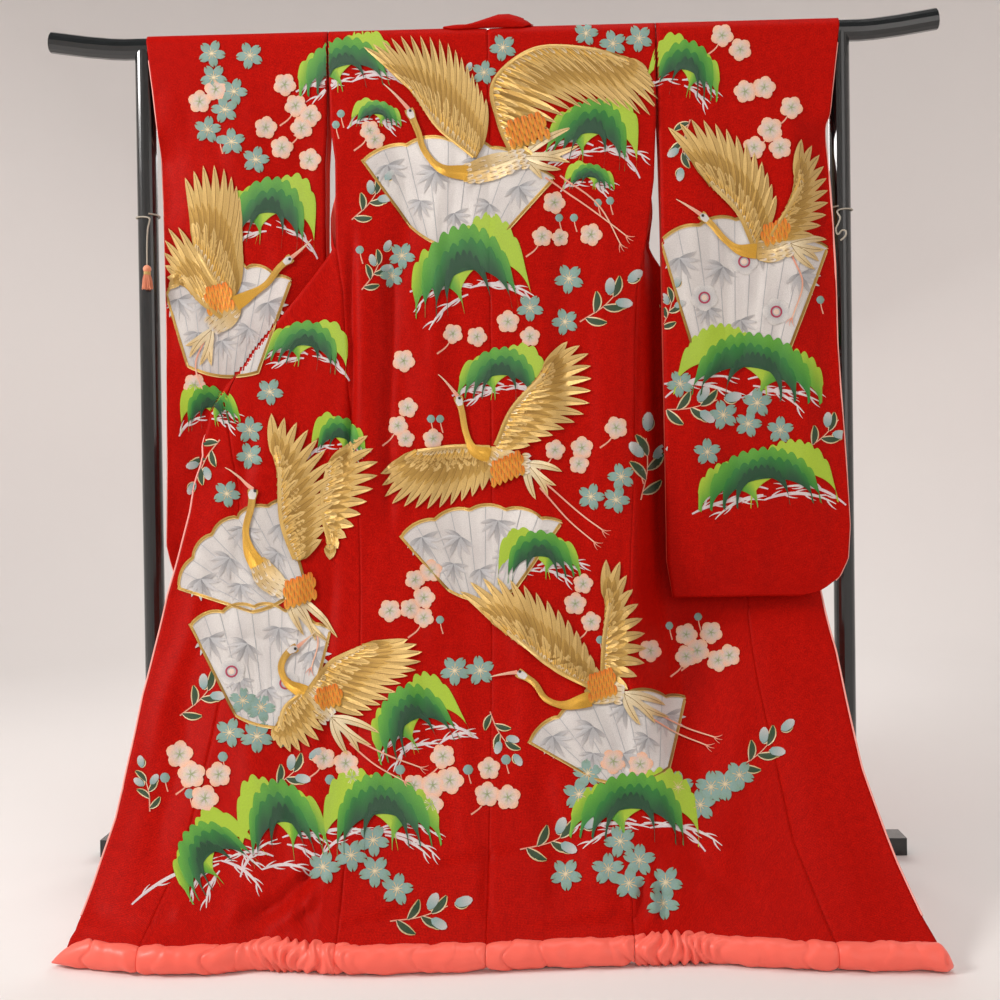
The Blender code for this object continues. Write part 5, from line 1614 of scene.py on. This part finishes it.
def tasselPiece():
    top = Vector((-0.6445, postLine - 0.0300, 1.1146))
    ball, around, rings = 0.0075, 20, 14
    middle = top - Vector((0, 0, ball))
    knot = [middle + ball * Vector((math.sin(t) * math.cos(a), math.sin(t) * math.sin(a), math.cos(t)))
            for t in (math.pi * j / rings for j in range(1, rings))
            for a in (2 * math.pi * k / around for k in range(around))]
    caps, last = [], (rings - 2) * around
    for k in range(around):
        after = (k + 1) % around
        caps += [(len(knot), k, after), (len(knot) + 1, last + after, last + k)]
    poles = [middle + Vector((0, 0, ball)), middle - Vector((0, 0, ball))]
    head = loose("tassel", knot + poles, (), quads(rings - 1, around, flip=True, ring=True) + caps)
    head.data.shade_smooth()
    head.data.materials.append(tasselSilk)
    points, edges = [], []
    for k in range(70):
        a, reach = 2.399963 * k, math.sqrt((k + 0.5) / 70)
        for j in range(8):
            t = j / 7
            out = 0.0065 * reach * (1 - 0.35 * math.sin(math.pi * min(1.0, t * 2.2)) * (t < 0.45)) + 0.0040 * reach * t
            points.append(top + Vector((out * math.cos(a + 0.25 * t), out * math.sin(a + 0.25 * t),
                                        -0.008 - (0.0365 + 0.0015 * math.sin(k)) * t)))
            if j:
                edges.append((len(points) - 2, len(points) - 1))
    strands = loose("tassel_strands", points, edges)
    pipeRule.follow(strands, Radius=0.00055, Step=0.004, Material=tasselSilk)
    wrap = []
    for k in range(5):
        for j in range(13):
            a = 2 * math.pi * j / 12
            wrap.append(top + Vector((0.0059 * math.cos(a), 0.0059 * math.sin(a), -0.0125 - 0.0011 * (k + j / 12))))
    band = loose("tassel_band", wrap, [(k, k + 1) for k in range(len(wrap) - 1)])
    pipeRule.follow(band, Radius=0.0007, Step=0.0015, Material=goldThread)
    return sewn(joined("tassel", [head, strands, band]), "silk", "tie_tassel_left")


tassel = tasselPiece()
for side, word in ((-1, "left"), (1, "right")):
    piece, line, long = tieCord(side, word)
    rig.cord(piece, exit=tuple(line[0]), length=long, diameter=2 * tie["radius"],
            far_end="knot" if side > 0 else "fitting",
            stiffness="limp", lay="hanging", path=[tuple(p) for p in line], with_pieces=[tassel] if side < 0 else [])
print("cords tied")


for name, node in frame["nodes"].items():
    if name.startswith("stand_"):
        node.data.materials.clear()
        node.data.materials.append(lacquer)
        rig.slot(node, "lacquer")


room = dict(floor=(0.81, 0.775, 0.76), wall=(0.87, 0.84, 0.82), reach=3.9, bend=1.0, height=4.2, around=72,
            air=(1.0, 0.97, 0.95), airStrength=0.20)
bpy.context.scene.view_settings.view_transform = "Standard"


def makeRoom():  # a round studio, so that every side is seen against it
    paint = Finish("pale_backdrop", Roughness=0.9, Specular_IOR_Level=0.1)
    place = paint.place()
    paint.done(Base_Color=paint.mix(paint.noise(place, 0.8, 2.0), room["floor"], room["wall"]))
    profile = [(room["reach"] - room["bend"], 0.0)]
    for k in range(1, 13):
        a = math.pi / 2 * k / 12
        profile.append((room["reach"] - room["bend"] * (1 - math.sin(a)), room["bend"] * (1 - math.cos(a))))
    profile.append((room["reach"], room["height"]))
    n, turns = len(profile), [2 * math.pi * k / room["around"] for k in range(room["around"])]
    verts = [(r * math.cos(a), r * math.sin(a), z - 0.0005) for a in turns for r, z in profile]
    faces = [(k * n + j, k * n + j + 1, (k + 1) % len(turns) * n + j + 1, (k + 1) % len(turns) * n + j)
             for k in range(len(turns)) for j in range(n - 1)]
    verts.append((0.0, 0.0, -0.0005))
    faces += [(k * n, (k + 1) % len(turns) * n, len(verts) - 1) for k in range(len(turns))]
    studio = loose("studio", verts, (), [face[::-1] for face in faces])
    studio.data.shade_smooth()
    studio.data.materials.append(paint.material)
    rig.stage(studio)
    world = bpy.data.worlds.new("soft_air")
    world.use_nodes = True
    world.node_tree.nodes["Background"].inputs[0].default_value = (*room["air"], 1.0)
    world.node_tree.nodes["Background"].inputs[1].default_value = room["airStrength"]
    bpy.context.scene.world = world


def softLight(name, place, aim, size, watts, colour=(1.0, 0.98, 0.96)):
    data = bpy.data.lights.new(name, "AREA")
    data.shape, data.size, data.energy, data.color = "DISK", size, watts, colour
    lamp = bpy.data.objects.new(name, data)
    bpy.context.scene.collection.objects.link(lamp)
    turned = (Vector(aim) - Vector(place)).to_track_quat("-Z", "Y").to_matrix().to_4x4()
    lamp.matrix_world = Matrix.Translation(place) @ turned


makeRoom()
softLight("key_light", (-2.8, -1.35, 2.5), (0.0, -0.1, 0.7), 1.0, 78.0)
softLight("fill_light", (2.2, -2.6, 1.6), (0.1, 0.0, 0.7), 2.2, 13.0)
softLight("top_light", (0.3, -0.3, 3.5), (0.0, -0.1, 0.0), 1.8, 26.0)
softLight("back_light", (0.4, 2.9, 2.6), (0.0, 0.3, 0.7), 2.0, 40.0)

with open("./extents.json", "w") as file:
    json.dump({"cad": [list(corner) for corner in cadBox], "visual": [list(corner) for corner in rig.bounds()]}, file)
